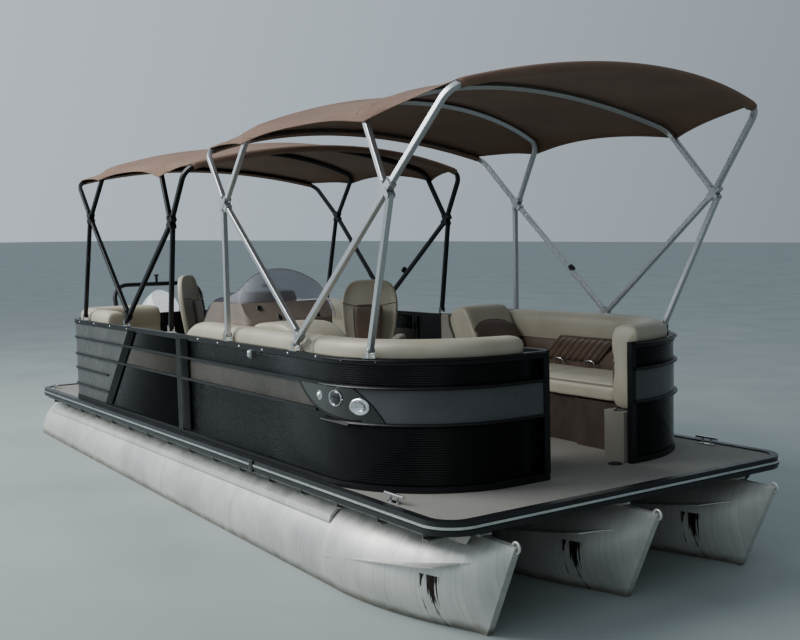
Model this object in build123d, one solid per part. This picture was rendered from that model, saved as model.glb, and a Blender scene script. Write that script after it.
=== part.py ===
from build123d import *
from math import atan2, cos, degrees, hypot, radians, sin, sqrt
import os

# Pontoon boat with three tubes, two folding sun tops and an outboard.
# Millimetres. +X is the bow, +Y is port, +Z is up.
# The shapes are drawn from the deck's front edge (x = 0) and the deck's
# top (z = 0). At the end all are moved so that the origin lies under the
# middle of the whole boat, on the ground that the tubes' keels stand on.

# Deck
DECK_LENGTH = 6700.0
BEAM = 2590.0
DECK_THICK = 26.0
DECK_CORNER_R = 190.0
RAIL_HEIGHT = 62.0
RAIL_LIP = 9.0
RAIL_THICK = 24.0
RAIL_LIP_WIDTH = 30.0
INSERT_HEIGHT = 14.0
INSERT_DROP = 22.0
SEAT_GAP = 0.3

# Cross members under the deck
CROSS_HEIGHT = 76.0
CROSS_WIDTH = 42.0
CROSS_WALL = 5.0
CROSS_PITCH = 405.0
CROSS_FIRST = 190.0

# Tubes
TUBE_R = 317.0
TUBE_Y = BEAM * 0.3707
TUBE_DROP = 10.0
TUBE_STERN = DECK_LENGTH + 20.0
CENTRE_TUBE_STERN = DECK_LENGTH - 510.0
NOSE_LENGTH = 1150.0
STEM_TOP_X = 130.0
STEM_BOTTOM_X = -100.0
STEM_WIDTH = 40.0
STEM_RISE = 125.0
KEEL_HEIGHT = 24.0
KEEL_WIDTH = 18.0
FIN_THICK = 6.0
FIN_AFT_Z = 30.0
FIN_SLOPE = 8.8
EYE_R = 26.0
EYE_WIRE_R = 6.5
TUBE_END_R = 30.0
NOSE_DIP = 6.0
# share of the nose's length from its weld to the stem, half width, bottom's rise
NOSE_ROWS = [(0.0, TUBE_R, 0.0), (0.34, 298.0, 12.0), (0.62, 232.0, 40.0),
             (0.84, 138.0, 82.0), (1.0, 21.0, STEM_RISE)]
# splash fin's outline: distance along it from the weld, distance from the tube's middle
FIN_ROWS = [(0.0, 60.0), (0.0, 322.0), (870.0, 278.0), (950.0, 250.0), (1010.0, 130.0),
            (1120.0, 60.0)]
WELD_BANDS = [-2390.0, -3600.0, -5100.0]
WELD_WIDTH = 14.0
WELD_PROUD = 1.2
RISER_SPREAD = 52.0
RISER_THICK = 6.0
RISER_TOP_WIDTH = 130.0
RISER_FRONT = -1200.0
SADDLE_FRONT = -110.0
WELD_BITE = 1.5

# Fence
FENCE_HALF = BEAM / 2 - 57.0
FENCE_FRONT = -440.0
FENCE_STERN = 800.0 - DECK_LENGTH
# shares that keep what stands inside the fence in step with its length and width
ALONG = (FENCE_FRONT - FENCE_STERN) / 5460.0
ACROSS = FENCE_HALF / 1238.0
FENCE_TOP = 716.0
FENCE_FRONT_R = 760.0
FENCE_STERN_R = 300.0
FRAME = 35.0
BEAD_HEIGHT = 16.0
BEAD_PROUD = 4.0
BEAD_HIGH_Z = 558.0
BEAD_LOW_Z = 409.0
BEAD_FRONT_Z = 362.0
BEAD_STERN_Z = (283.0, 140.0)
STERN_WRAP_X = FENCE_STERN + 1100.0
# the low bead's sweep up to the high one: where it starts, where it has levelled out
SWEEP_TOP_X = -1452.0
SWEEP_LOW_X = -800.0
SWEEP_MID = (-1222.0, 418.0)
SWEEP_HIGH = (-1344.0, 467.0)
SWEEP_LOW = (-1037.0, 381.0)
SKIN_THICK = 4.0
SKIN_INSET = 7.0
DIVIDER_X = FENCE_FRONT - 2810.0 * ALONG
BOW_GATE_Y = (-240.0, 400.0)
SIDE_GATE_X = (FENCE_FRONT - 3360.0 * ALONG, FENCE_FRONT - 2680.0 * ALONG)
STERN_GATE_Y = (-330.0, 330.0)
GATE_GAP = 8.0
HINGE_R = 8.0
HINGE_BARREL = 32.0
LATCH_GAP = 14.0
GATE_LIFT = 25.0
HINGE_HEIGHTS = (140.0, 600.0)

# Seats
BASE_HEIGHT = 300.0
SEAT_TOP = 440.0
SEAT_DEPTH = 600.0 * ACROSS
BACK_TOP = 800.0
BACK_THICK = 170.0
CUSHION_GAP = 18.0
LOUNGE_FRONT = -560.0
LOUNGE_AFT = FENCE_FRONT - 2120.0 * ALONG
PORT_LOUNGE_AFT = FENCE_FRONT - 2320.0 * ALONG
# leaned-back chaise backs, side view: (distance from the lounge's aft end, height)
CHAISES = {"starboard": [(2, SEAT_TOP + SEAT_GAP), (2, 800), (60, 826), (385, 846), (480, 838), (600, 800), (690, 745), (770, 660), (860, SEAT_TOP + SEAT_GAP)],
           "port": [(165, SEAT_TOP + SEAT_GAP), (165, 770), (240, 790), (300, 835), (370, 856), (440, 856), (485, 836), (530, 760), (600, 640),
                    (690, 520), (735, SEAT_TOP + SEAT_GAP)]}
BENCH_FRONT = FENCE_STERN + 1000.0 * ALONG
PORT_BENCH_FRONT = FENCE_STERN + 1550.0 * ALONG
POD_GAP = 17.0
POD_OUT = 15.0
POD_LENGTH = 165.0
CUP_R = 37.0
CUP_DEPTH = 75.0

# Console and wheel
CONSOLE_FRONT = LOUNGE_AFT - 10.0
CONSOLE_AFT = CONSOLE_FRONT - 760.0
CONSOLE_OUT = FENCE_HALF - FRAME - CUSHION_GAP - BACK_THICK - 5.0
CONSOLE_Y = (-CONSOLE_OUT, 680.0 - CONSOLE_OUT)
CONSOLE_TOP = 940.0
CONSOLE_LOW = 760.0
SCREEN_THICK = 5.0
SCREEN_TOP = 1165.0
SCREEN_FRONT = CONSOLE_FRONT - 130.0
SCREEN_INSET = 18.0
SCREEN_LEAN_X = 160.0
SCREEN_LEAN_Y = 130.0
HOOD_HEIGHT = 58.0
WHEEL_R = 178.0
WHEEL_RIM_R = 15.0
WHEEL_TILT = 28.0
WHEEL_POINT = (CONSOLE_AFT - 125.0, 340.0 - CONSOLE_OUT, 800.0)

# Chairs
CHAIR_SEAT_Z = 430.0
CHAIR_POST_R = 36.0
CHAIR_TOP = 1062.0
CHAIR_WIDTH = 500.0
# place, heading and how much higher the driver sits
HELM_CHAIR = (CONSOLE_AFT - 665.0, WHEEL_POINT[1] + 190.0, 50.0, 70.0)
MATE_CHAIR = (CONSOLE_AFT + 280.0, 180.0 * ACROSS, -45.0, 0.0)

# Tow bar
TOW_X = 220.0 - DECK_LENGTH
TOW_HALF = 470.0
TOW_LENGTH = 1020.0
TOW_LEAN = 19.4
TOW_R = 22.0
TOW_BEND_R = 150.0

# Outboard
TRANSOM_X = -DECK_LENGTH - 130.0
POD_HALF = 210.0
POD_TOP = -125.0
PIVOT_X = TRANSOM_X - 45.0
PIVOT_Z = 5.0
REST_TILT = 35.0
SHAFT_LENGTH = 520.0
PROP_DROP = 700.0
PROP_R = 165.0
HUB_R = 46.0
SKEG_DROP = 915.0
COWL_TOP = 790.0

# Sun tops: square tubes, brackets and sheets
BOW_TUBE = 32.0
BOW_EDGE_R = 5.0
HINGE_RISE = 40.0
PIVOT_OFF = 40.0
EAR_GAP = 2.5
EAR_THICK = 5.0
PIN_R = 5.0
EAR_R = 14.0
SLEEVE_LENGTH = 110.0
SLEEVE_WALL = 5.0
CARRIER_LENGTH = 56.0
OPEN_PIN_GAP = 2.0
CORNER_R = 130.0
SHEET_THICK = 7.0
SHEET_LIFT = 21.0
BOLT_STEP = 70.0

BOWS_Y = FENCE_HALF - FRAME / 2
# one row for each sun top: hinge x, fore foot x, aft foot x, then for the fore bow
# and the aft bow (x, z) of bracket and corner, the corner's y and the crown's rise,
# then for the two short bows (x, z) of the corner, its y and the crown's rise
SUN_TOPS = {
    "front": dict(hinge=-1520.0, fore_foot=-850.0, aft_foot=-2435.0,
                  fore=((-515.0, 1590.0), (-116.0, 2051.0), 1117.0, 140.0),
                  aft=((-2401.0, 1600.0), (-2760.0, 1964.0), 1174.0, 190.0),
                  fore_aux=((-830.0, 2004.0), 1150.0, 225.0),
                  aft_aux=((-2117.0, 2027.0), 1180.0, 230.0)),
    "rear": dict(hinge=-4336.0, fore_foot=-3410.0, aft_foot=-5372.0,
                 fore=((-3322.0, 1512.0), (-3090.0, 1881.0), 1200.0, 160.0),
                 aft=((-5112.0, 1600.0), (-5487.0, 1919.0), 1195.0, 150.0),
                 fore_aux=((-3576.0, 1924.0), 1190.0, 200.0),
                 aft_aux=((-4781.0, 1966.0), 1200.0, 190.0)),
}

parts = {}
pivots = {}

TUBE_TOP = -DECK_THICK - CROSS_HEIGHT - TUBE_DROP
TUBE_Z = TUBE_TOP - TUBE_R
TUBE_BOTTOM = TUBE_Z - TUBE_R
GROUND_Z = TUBE_BOTTOM - KEEL_HEIGHT


def box(x0, x1, y0, y1, z0, z1):
    return Pos((x0 + x1) / 2, (y0 + y1) / 2, (z0 + z1) / 2) * Box(abs(x1 - x0), abs(y1 - y0), abs(z1 - z0))


def rod(a, b, r):
    axis = Vector(*b) - Vector(*a)
    return extrude(Plane(Vector(*a), z_dir=axis) * Circle(r), axis.length)


def rounded_outline(x0, x1, half, front_r, stern_r):
    """Plan outline with one radius at the bow corners and one at the stern corners."""
    face = make_face(Polyline((x0, -half), (x1, -half), (x1, half), (x0, half), close=True))
    corners = face.vertices().sort_by(Axis.X)
    face = fillet(corners[2:], front_r)
    return fillet(face.vertices().sort_by(Axis.X)[:2], stern_r)


def fence_plan(inset):
    front_r = max(FENCE_FRONT_R - inset, 40.0)
    stern_r = max(FENCE_STERN_R - inset, 40.0)
    return rounded_outline(FENCE_STERN + inset, FENCE_FRONT - inset, FENCE_HALF - inset, front_r, stern_r)


def fence_band(inset, thick, z0, z1):
    """Wall that follows the fence's plan, inset from its outer face."""
    ring = fence_plan(inset) - fence_plan(inset + thick)
    return extrude(Pos(0, 0, z0) * ring, z1 - z0)


def keep(shape, *boxes):
    out = shape & boxes[0]
    for b in boxes[1:]:
        out = out + (shape & b)
    return out


# Tubes

def nose_section(top_x, bottom_x, top_z, bottom_z, half_width):
    """Lens shape with short flats, on a plane that leans as the stem does."""
    flat = STEM_WIDTH / 2
    mid_x = (top_x + bottom_x) / 2
    mid_z = (top_z + bottom_z) / 2
    a = (top_x, -flat, top_z)
    b = (bottom_x, -flat, bottom_z)
    c = (bottom_x, flat, bottom_z)
    d = (top_x, flat, top_z)
    return make_face([ThreePointArc(a, (mid_x, -half_width, mid_z), b), Line(b, c),
                      ThreePointArc(c, (mid_x, half_width, mid_z), d), Line(d, a)])


def build_pontoon(stern):
    tube = extrude(Plane((-stern, 0, TUBE_Z), z_dir=(1, 0, 0)) * Circle(TUBE_R), stern - NOSE_LENGTH)
    tube = fillet(tube.edges().sort_by(Axis.X)[0], TUBE_END_R)
    chord = sqrt(TUBE_R ** 2 - (STEM_WIDTH / 2) ** 2)
    sections = []
    for share, half_width, rise in NOSE_ROWS:
        top_x = -NOSE_LENGTH + share * (NOSE_LENGTH + STEM_TOP_X)
        bottom_x = -NOSE_LENGTH + share * (NOSE_LENGTH + STEM_BOTTOM_X)
        top_z = TUBE_Z + chord - NOSE_DIP * share ** 2
        sections.append(nose_section(top_x, bottom_x, top_z, TUBE_Z - chord + rise, half_width))
    hull = tube + loft(sections)
    # splash fins on both sides, rising towards the stem
    a = radians(FIN_SLOPE)
    fin_plane = Plane((-NOSE_LENGTH, 0, TUBE_Z + FIN_AFT_Z), x_dir=(cos(a), 0, sin(a)), z_dir=(-sin(a), 0, cos(a)))
    for side in (-1, 1):
        outline = make_face(Polyline(*[(along, side * out) for along, out in FIN_ROWS], close=True))
        hull = hull + extrude(fin_plane * outline, FIN_THICK)
    hull = hull + box(-stern + 200, -NOSE_LENGTH, -KEEL_WIDTH / 2, KEEL_WIDTH / 2, GROUND_Z, TUBE_BOTTOM + 20)
    hull = hull + Pos(STEM_TOP_X - 14, 0, TUBE_TOP - 12) * Rot(90, 0, 0) * Torus(EYE_R, EYE_WIRE_R)
    # weld bands below the risers
    clear = radians(RISER_SPREAD + 3)
    top = box(-stern, 0, -TUBE_R * 2, TUBE_R * 2, TUBE_Z + TUBE_R * cos(clear), 0)
    for x in WELD_BANDS:
        band = Plane((x - WELD_WIDTH / 2, 0, TUBE_Z), z_dir=(1, 0, 0)) * Circle(TUBE_R + WELD_PROUD)
        hull = hull + (extrude(band, WELD_WIDTH) - top)
    return hull


def riser_profile():
    """Hat-shaped riser welded on a tube's top, seen from the bow: (y, z) points of one half."""
    a = radians(RISER_SPREAD)
    out_y, out_z = TUBE_R * sin(a), TUBE_Z + TUBE_R * cos(a)
    top = TUBE_TOP + TUBE_DROP - SEAT_GAP
    half_top = RISER_TOP_WIDTH
    t = RISER_THICK
    half = [(0, top), (half_top, top), (out_y - 6, out_z + 44), (out_y + 6, out_z + 12), (out_y + 4, out_z - 2),
            (out_y - 16, out_z + 6), (out_y - 22, out_z + 34), (half_top - t, top - t), (0, top - t)]
    return half


def build_riser(y, x0, x1):
    half = riser_profile()
    right = make_face(Polyline(*half, close=True))
    left = make_face(Polyline(*[(-a, b) for a, b in half], close=True))
    plane = Plane((x0, y, 0), x_dir=(0, 1, 0), z_dir=(1, 0, 0))
    bar = extrude(plane * right, x1 - x0) + extrude(plane * left, x1 - x0)
    # forward of the weld the riser is a narrow saddle that tapers with the nose
    top = TUBE_TOP + TUBE_DROP - SEAT_GAP
    saddle = Polyline((x1, -150), (x1, 150), (-500, 118), (SADDLE_FRONT, 36), (SADDLE_FRONT, -36), (-500, -118), close=True)
    bar = bar + extrude(Pos(0, y, TUBE_TOP - 40) * make_face(saddle), top - TUBE_TOP + 40)
    bore = extrude(Plane((x0 - 5, y, TUBE_Z), z_dir=(1, 0, 0)) * Circle(TUBE_R - WELD_BITE), SADDLE_FRONT - x0 + 15)
    return bar - bore


def build_deck_frame():
    half = BEAM / 2 - RAIL_THICK - 2
    top = -DECK_THICK
    bottom = top - CROSS_HEIGHT
    frame = None
    count = int((DECK_LENGTH - 2 * CROSS_FIRST) / CROSS_PITCH) + 1
    for i in range(count):
        x = -CROSS_FIRST - i * CROSS_PITCH
        beam = box(x - CROSS_WIDTH / 2, x + CROSS_WIDTH / 2, -half, half, bottom, top)
        slot = box(x - CROSS_WIDTH / 2 + CROSS_WALL, x + CROSS_WIDTH, -half - 1, half + 1, bottom + CROSS_WALL, top - CROSS_WALL)
        beam = beam - slot
        frame = beam if frame is None else frame + beam
    for side in (-1, 1):
        y = side * (half - 12)
        frame = frame + box(-DECK_LENGTH + 200, -200, y - 6, y + 6, bottom + 20, top)
    return frame


def deck_outline(inset):
    r = DECK_CORNER_R - inset
    return rounded_outline(-DECK_LENGTH + inset, -inset, BEAM / 2 - inset, r, r)


def build_deck():
    floor = extrude(Pos(0, 0, -DECK_THICK) * deck_outline(RAIL_THICK + SEAT_GAP), DECK_THICK)
    parts["deck_floor"] = floor
    low = RAIL_LIP - RAIL_HEIGHT - RAIL_LIP
    body = extrude(Pos(0, 0, low) * (deck_outline(6) - deck_outline(RAIL_THICK)), -low + RAIL_LIP)
    lip = extrude(Pos(0, 0, SEAT_GAP) * (deck_outline(6) - deck_outline(RAIL_THICK + RAIL_LIP_WIDTH)), RAIL_LIP - SEAT_GAP)
    groove_z = -INSERT_DROP
    groove = extrude(Pos(0, 0, groove_z - INSERT_HEIGHT / 2) * (deck_outline(0) - deck_outline(12)), INSERT_HEIGHT)
    nose_z = groove_z - INSERT_HEIGHT / 2 - 10
    ridge = extrude(Pos(0, 0, nose_z - 5) * (deck_outline(0) - deck_outline(8)), 9)
    parts["rub_rail"] = body + lip + ridge - groove
    strip = extrude(Pos(0, 0, groove_z - INSERT_HEIGHT / 2 + SEAT_GAP) * (deck_outline(0) - deck_outline(12 - SEAT_GAP)),
                    INSERT_HEIGHT - 2 * SEAT_GAP)
    parts["rub_rail_strip"] = strip


# Fence

FENCE_WINDOWS = {
    "starboard_fore": [(DIVIDER_X + 2, 0, -2000, BOW_GATE_Y[0])],
    "starboard_aft": [(-7000, DIVIDER_X - 2, -2000, STERN_GATE_Y[0])],
    "port_fore": [(SIDE_GATE_X[1], 0, BOW_GATE_Y[1], 2000)],
    "port_aft": [(-7000, SIDE_GATE_X[0], STERN_GATE_Y[1], 2000)],
}
# posts of each panel: (x, y) of the post's middle
POSTS = {
    "starboard_fore": [(FENCE_FRONT - FRAME / 2, BOW_GATE_Y[0] - FRAME / 2),
                       (DIVIDER_X + 2 + FRAME / 2, -FENCE_HALF + FRAME / 2)],
    "starboard_aft": [(DIVIDER_X - 2 - FRAME / 2, -FENCE_HALF + FRAME / 2),
                      (FENCE_STERN + FRAME / 2, STERN_GATE_Y[0] - FRAME / 2)],
    "port_fore": [(FENCE_FRONT - FRAME / 2, BOW_GATE_Y[1] + FRAME / 2),
                  (SIDE_GATE_X[1] + FRAME / 2, FENCE_HALF - FRAME / 2)],
    "port_aft": [(SIDE_GATE_X[0] - FRAME / 2, FENCE_HALF - FRAME / 2),
                 (FENCE_STERN + FRAME / 2, STERN_GATE_Y[1] + FRAME / 2)],
}


def bead_at(z):
    return fence_band(-BEAD_PROUD, BEAD_PROUD + SKIN_INSET - SEAT_GAP, z - BEAD_HEIGHT / 2, z + BEAD_HEIGHT / 2)


def build_beads():
    """Round-edged beads on the fence: one high, one low that sweeps up to it behind the lamps, two at the stern."""
    beads = bead_at(BEAD_HIGH_Z)
    beads = beads + (bead_at(BEAD_LOW_Z) & box(-7000, SWEEP_MID[0] - 40, -2000, 2000, 0, 2000))
    beads = beads + (bead_at(BEAD_FRONT_Z) & box(SWEEP_LOW_X, 0, -2000, 2000, 0, 2000))
    for z in BEAD_STERN_Z:
        beads = beads + (bead_at(z) & box(-7000, STERN_WRAP_X, -2000, 2000, 0, 2000))
    # the sweep is a curved stripe seen from the side, cut out of the bead's own band
    h = BEAD_HEIGHT / 2
    rows = []
    for side in (1, -1):
        rows.append([(SWEEP_TOP_X + side * h, BEAD_HIGH_Z), (SWEEP_HIGH[0] + side * h * 0.8, SWEEP_HIGH[1] + side * h * 0.6),
                     (SWEEP_MID[0] + side * h * 0.4, SWEEP_MID[1] + side * h * 0.9),
                     (SWEEP_LOW[0] + side * h * 0.1, SWEEP_LOW[1] + side * h), (SWEEP_LOW_X, BEAD_FRONT_Z + side * h)])
    upper, lower = rows
    stripe = make_face([ThreePointArc(*upper[0:3]), ThreePointArc(*upper[2:5]), Line(upper[4], lower[4]),
                        ThreePointArc(*lower[4:1:-1]), ThreePointArc(*lower[2::-1]), Line(lower[0], upper[0])])
    band = fence_band(-BEAD_PROUD, BEAD_PROUD + SKIN_INSET - SEAT_GAP, BEAD_FRONT_Z - h, BEAD_HIGH_Z)
    for y in (0, 2000):
        beads = beads + (band & extrude(Plane((0, y, 0), x_dir=(1, 0, 0), z_dir=(0, -1, 0)) * stripe, 2000))
    return beads


def build_fence():
    rails = fence_band(0, FRAME, 0, FRAME) + fence_band(0, FRAME, FENCE_TOP - FRAME, FENCE_TOP)
    skin = fence_band(SKIN_INSET, SKIN_THICK, FRAME + SEAT_GAP, FENCE_TOP - FRAME - SEAT_GAP)
    beads = build_beads()
    skins = {}
    for name, windows in FENCE_WINDOWS.items():
        (x0, x1, y0, y1) = windows[0]
        window = box(x0, x1, y0, y1, -10, 2000)
        frame = (rails + beads) & window
        gap = None
        for x, y in POSTS[name]:
            post = box(x - FRAME / 2, x + FRAME / 2, y - FRAME / 2, y + FRAME / 2, 0, FENCE_TOP)
            cut = box(x - FRAME / 2 - SEAT_GAP, x + FRAME / 2 + SEAT_GAP, y - FRAME / 2 - SEAT_GAP,
                      y + FRAME / 2 + SEAT_GAP, 0, FENCE_TOP)
            frame = frame + post
            gap = cut if gap is None else gap + cut
        parts["fence_" + name] = frame
        side = name.split("_")[0]
        sheet = (skin & window) - gap
        skins[side] = skins[side] + sheet if side in skins else sheet
    for side, sheets in skins.items():
        parts["skin_" + side] = sheets


def gate_panel(width, inward):
    """Shut gate along +X from its post at x = 0; its outer face is on y = 0 and inward is its sign."""
    x0, x1 = GATE_GAP, width - LATCH_GAP
    y0, y1 = sorted((0.0, inward * FRAME))
    mid = inward * FRAME / 2
    low = GATE_LIFT
    frame = box(x0, x1, y0, y1, low, FENCE_TOP) - box(x0 + FRAME, x1 - FRAME, -100, 100, low + FRAME, FENCE_TOP - FRAME)
    for z in (BEAD_LOW_Z, BEAD_HIGH_Z):
        frame = frame + box(x0 + FRAME - 1, x1 - FRAME + 1, mid - 9, mid + 9, z - BEAD_HEIGHT / 2, z + BEAD_HEIGHT / 2)
    return frame + box(x0 + FRAME - 1, x1 - FRAME + 1, mid - 3, mid + 3, low + FRAME - 1, FENCE_TOP - FRAME + 1)


def gate_knuckles(inward, on_post):
    """Barrels on the hinge line with their leaves: the gate's are above, the post's below."""
    ax, ay = hinge_line(inward)
    out = None
    for z in HINGE_HEIGHTS:
        z0 = z - HINGE_BARREL - SEAT_GAP if on_post else z
        barrel = Pos(ax, ay, z0 + HINGE_BARREL / 2) * Cylinder(HINGE_R, HINGE_BARREL)
        x0, x1 = (-24.0, ax) if on_post else (ax, GATE_GAP + 24.0)
        y0, y1 = sorted((inward * FRAME, inward * (FRAME + 4)))
        one = barrel + box(x0, x1, y0, y1, z0, z0 + HINGE_BARREL)
        side = -1 if on_post else 1
        one = one + box(ax, ax + side * HINGE_R, inward * FRAME, ay, z0, z0 + HINGE_BARREL)
        out = one if out is None else out + one
    return out


def hinge_line(inward):
    return GATE_GAP / 2, inward * (FRAME + HINGE_R)


def build_gates():
    # name, post's corner on the outer face, heading of the shut gate, inward's sign,
    # opening width, how far it stands open, panel that carries it
    rows = [
        ("bow_gate", (FENCE_FRONT, BOW_GATE_Y[0]), 90, 1, BOW_GATE_Y[1] - BOW_GATE_Y[0], 90, "starboard_fore"),
        ("side_gate", (SIDE_GATE_X[0], FENCE_HALF), 0, -1, SIDE_GATE_X[1] - SIDE_GATE_X[0], 0, "port_aft"),
        ("stern_gate", (FENCE_STERN, STERN_GATE_Y[0]), 90, -1, STERN_GATE_Y[1] - STERN_GATE_Y[0], 0, "starboard_aft"),
    ]
    for name, corner, heading, inward, width, opened, post in rows:
        place = Pos(corner[0], corner[1], 0) * Rot(0, 0, heading)
        ax, ay = hinge_line(inward)
        gate = gate_panel(width, inward) + gate_knuckles(inward, False)
        swing = Pos(ax, ay, 0) * Rot(0, 0, inward * opened) * Pos(-ax, -ay, 0)
        parts[name] = place * swing * gate
        parts["fence_" + post] = parts["fence_" + post] + place * gate_knuckles(inward, True)
        line = place * Pos(ax, ay, 0)
        pivots[name] = dict(pos=(line.position.X, line.position.Y, 0.0), axis=(0, 0, inward))


# Seats

def seat_bands():
    """Plan walls of base, seat and back, each a set distance inside the fence."""
    back_out = FRAME + CUSHION_GAP
    seat_out = back_out + BACK_THICK + 2
    base = fence_band(back_out + 6, SEAT_DEPTH - 50, SEAT_GAP, BASE_HEIGHT)
    seat = fence_band(seat_out, back_out + SEAT_DEPTH - seat_out, BASE_HEIGHT + SEAT_GAP, SEAT_TOP)
    back = fence_band(back_out, BACK_THICK, BASE_HEIGHT + SEAT_GAP, BACK_TOP)
    return base, seat, back


def build_lounges():
    base, seat, back = seat_bands()
    inner_edge = FENCE_HALF - FRAME - CUSHION_GAP - SEAT_DEPTH
    # side, its sign, the lounge's aft end, the back's aft end, the back's edge at the bow gate
    rows = [("starboard", -1, LOUNGE_AFT, CONSOLE_AFT + 60, -BOW_GATE_Y[0] + FRAME + 95),
            ("port", 1, PORT_LOUNGE_AFT, PORT_LOUNGE_AFT, BOW_GATE_Y[1] + FRAME + 4)]
    chaises = None
    for side, sign, aft, back_aft, gate_edge in rows:
        window = box(aft, 0, sign * inner_edge, sign * 2000, -10, 2000)
        parts["lounge_base_" + side] = base & window
        parts["lounge_seat_" + side] = seat & window
        parts["lounge_back_" + side] = back & box(back_aft, 0, sign * gate_edge, sign * 2000, -10, 2000)
        y_wall = FENCE_HALF - FRAME - CUSHION_GAP - BACK_THICK - 3
        profile = make_face(Polyline(*[(aft + x, z) for x, z in CHAISES[side]], close=True))
        near, far = sorted((sign * (inner_edge + 10), sign * y_wall))
        chaise = extrude(Plane((0, far, 0), x_dir=(1, 0, 0), z_dir=(0, -1, 0)) * profile, far - near)
        chaises = chaise if chaises is None else chaises + chaise
    parts["chaise_backs"] = chaises
    x0, y0 = FENCE_FRONT - FRAME - POD_GAP, BOW_GATE_Y[1] - POD_OUT
    pod = box(x0 - POD_LENGTH, x0, y0, inner_edge - 5, SEAT_GAP, BASE_HEIGHT)
    cup = Pos(x0 - POD_LENGTH / 2, y0 + CUP_R + 9, BASE_HEIGHT - CUP_DEPTH / 2) * Cylinder(CUP_R, CUP_DEPTH)
    parts["cup_pod"] = fillet(pod.edges().filter_by(Axis.Z).sort_by(Axis.Y)[0], 12) - cup


def build_stern_bench():
    base, seat, back = seat_bands()
    windows = [box(-6500, PORT_BENCH_FRONT, STERN_GATE_Y[1] + 70, 2000, -10, 2000),
               box(-6500, BENCH_FRONT, -2000, STERN_GATE_Y[0] - 70, -10, 2000)]
    for name, band in (("base", base), ("seat", seat), ("back", back)):
        parts["stern_bench_" + name] = keep(band, *windows)


# Console

def build_console():
    y0, y1 = CONSOLE_Y
    mid, half = (y0 + y1) / 2, (y1 - y0) / 2 - SCREEN_INSET
    side = make_face(Polyline((CONSOLE_FRONT, SEAT_GAP), (CONSOLE_FRONT, CONSOLE_TOP - 120), (CONSOLE_FRONT - 100, CONSOLE_TOP),
                              (CONSOLE_AFT + 190, CONSOLE_TOP), (CONSOLE_AFT, CONSOLE_LOW), (CONSOLE_AFT, 560),
                              (CONSOLE_AFT + 190, 480), (CONSOLE_AFT + 190, SEAT_GAP), close=True))
    body = extrude(Plane((0, y1, 0), x_dir=(1, 0, 0), z_dir=(0, -1, 0)) * side, y1 - y0)
    body = fillet(body.edges().filter_by(Axis.Z).sort_by(Axis.X)[-2:], 60)
    # column that carries the wheel
    x, y, z = WHEEL_POINT
    a = radians(WHEEL_TILT)
    aim = (-cos(a), 0, sin(a))
    near, far = 14.0, 190.0
    column = rod((x - aim[0] * near, y, z - aim[2] * near), (x - aim[0] * far, y, z - aim[2] * far), 26)
    pin = rod((x - aim[0] * far, y, z - aim[2] * far), (x + aim[0] * 12, y, z + aim[2] * 12), 10)
    parts["console"] = body + column + pin
    # hood over the gauges, inside the screen's curve
    hood = [make_face(screen_outline(mid, half - 75 - step, SCREEN_FRONT - 80 - step, 330 - step)) for step in (0, 22)]
    hood_z = CONSOLE_TOP + SEAT_GAP
    parts["console_hood"] = loft([Pos(0, 0, hood_z) * hood[0], Pos(0, 0, hood_z + HOOD_HEIGHT) * hood[1]])
    shells = []
    for inset in (0, SCREEN_THICK):
        low = make_face(screen_outline(mid, half - inset, SCREEN_FRONT - inset, 560))
        top = make_face(screen_outline(mid, half - SCREEN_LEAN_Y - inset, SCREEN_FRONT - SCREEN_LEAN_X - inset, 300))
        shells.append(loft([Pos(0, 0, CONSOLE_TOP + SEAT_GAP) * low, Pos(0, 0, SCREEN_TOP) * top]))
    aft = extrude(Plane((SCREEN_FRONT - 450, 0, CONSOLE_TOP), z_dir=(-1, 0, -0.9)) * Rectangle(3000, 3000), 2000)
    parts["windscreen"] = shells[0] - shells[1] - aft
    # wheel
    hub = Cylinder(34, 24) - Cylinder(10 + SEAT_GAP, 60)
    wheel = hub + Torus(WHEEL_R, WHEEL_RIM_R)
    for k in range(3):
        wheel = wheel + Rot(0, 0, 180 + 120 * k) * box(24, WHEEL_R, -16, 16, -6, 6)
    parts["steering_wheel"] = Pos(x, y, z) * Rot(0, -90 + WHEEL_TILT, 0) * wheel
    pivots["steering_wheel"] = dict(pos=(x, y, z), axis=aim)
    lever_y = y1 - 60
    lever = box(CONSOLE_AFT - 70, CONSOLE_AFT - SEAT_GAP, lever_y - 45, lever_y + 45, 590, 720)
    lever = lever + rod((CONSOLE_AFT - 50, lever_y, 700), (CONSOLE_AFT - 90, lever_y, 850), 13)
    parts["throttle"] = lever


def screen_outline(mid, half, front_x, depth):
    """Plan of the screen: round front, straight sides running aft."""
    r = half
    a = (front_x - depth, mid - half)
    b = (front_x - r * 0.75, mid - half)
    c = (front_x, mid)
    d = (front_x - r * 0.75, mid + half)
    e = (front_x - depth, mid + half)
    return [Line(a, b), ThreePointArc(b, c, d), Line(d, e), Line(e, a)]


# Chairs

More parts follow.
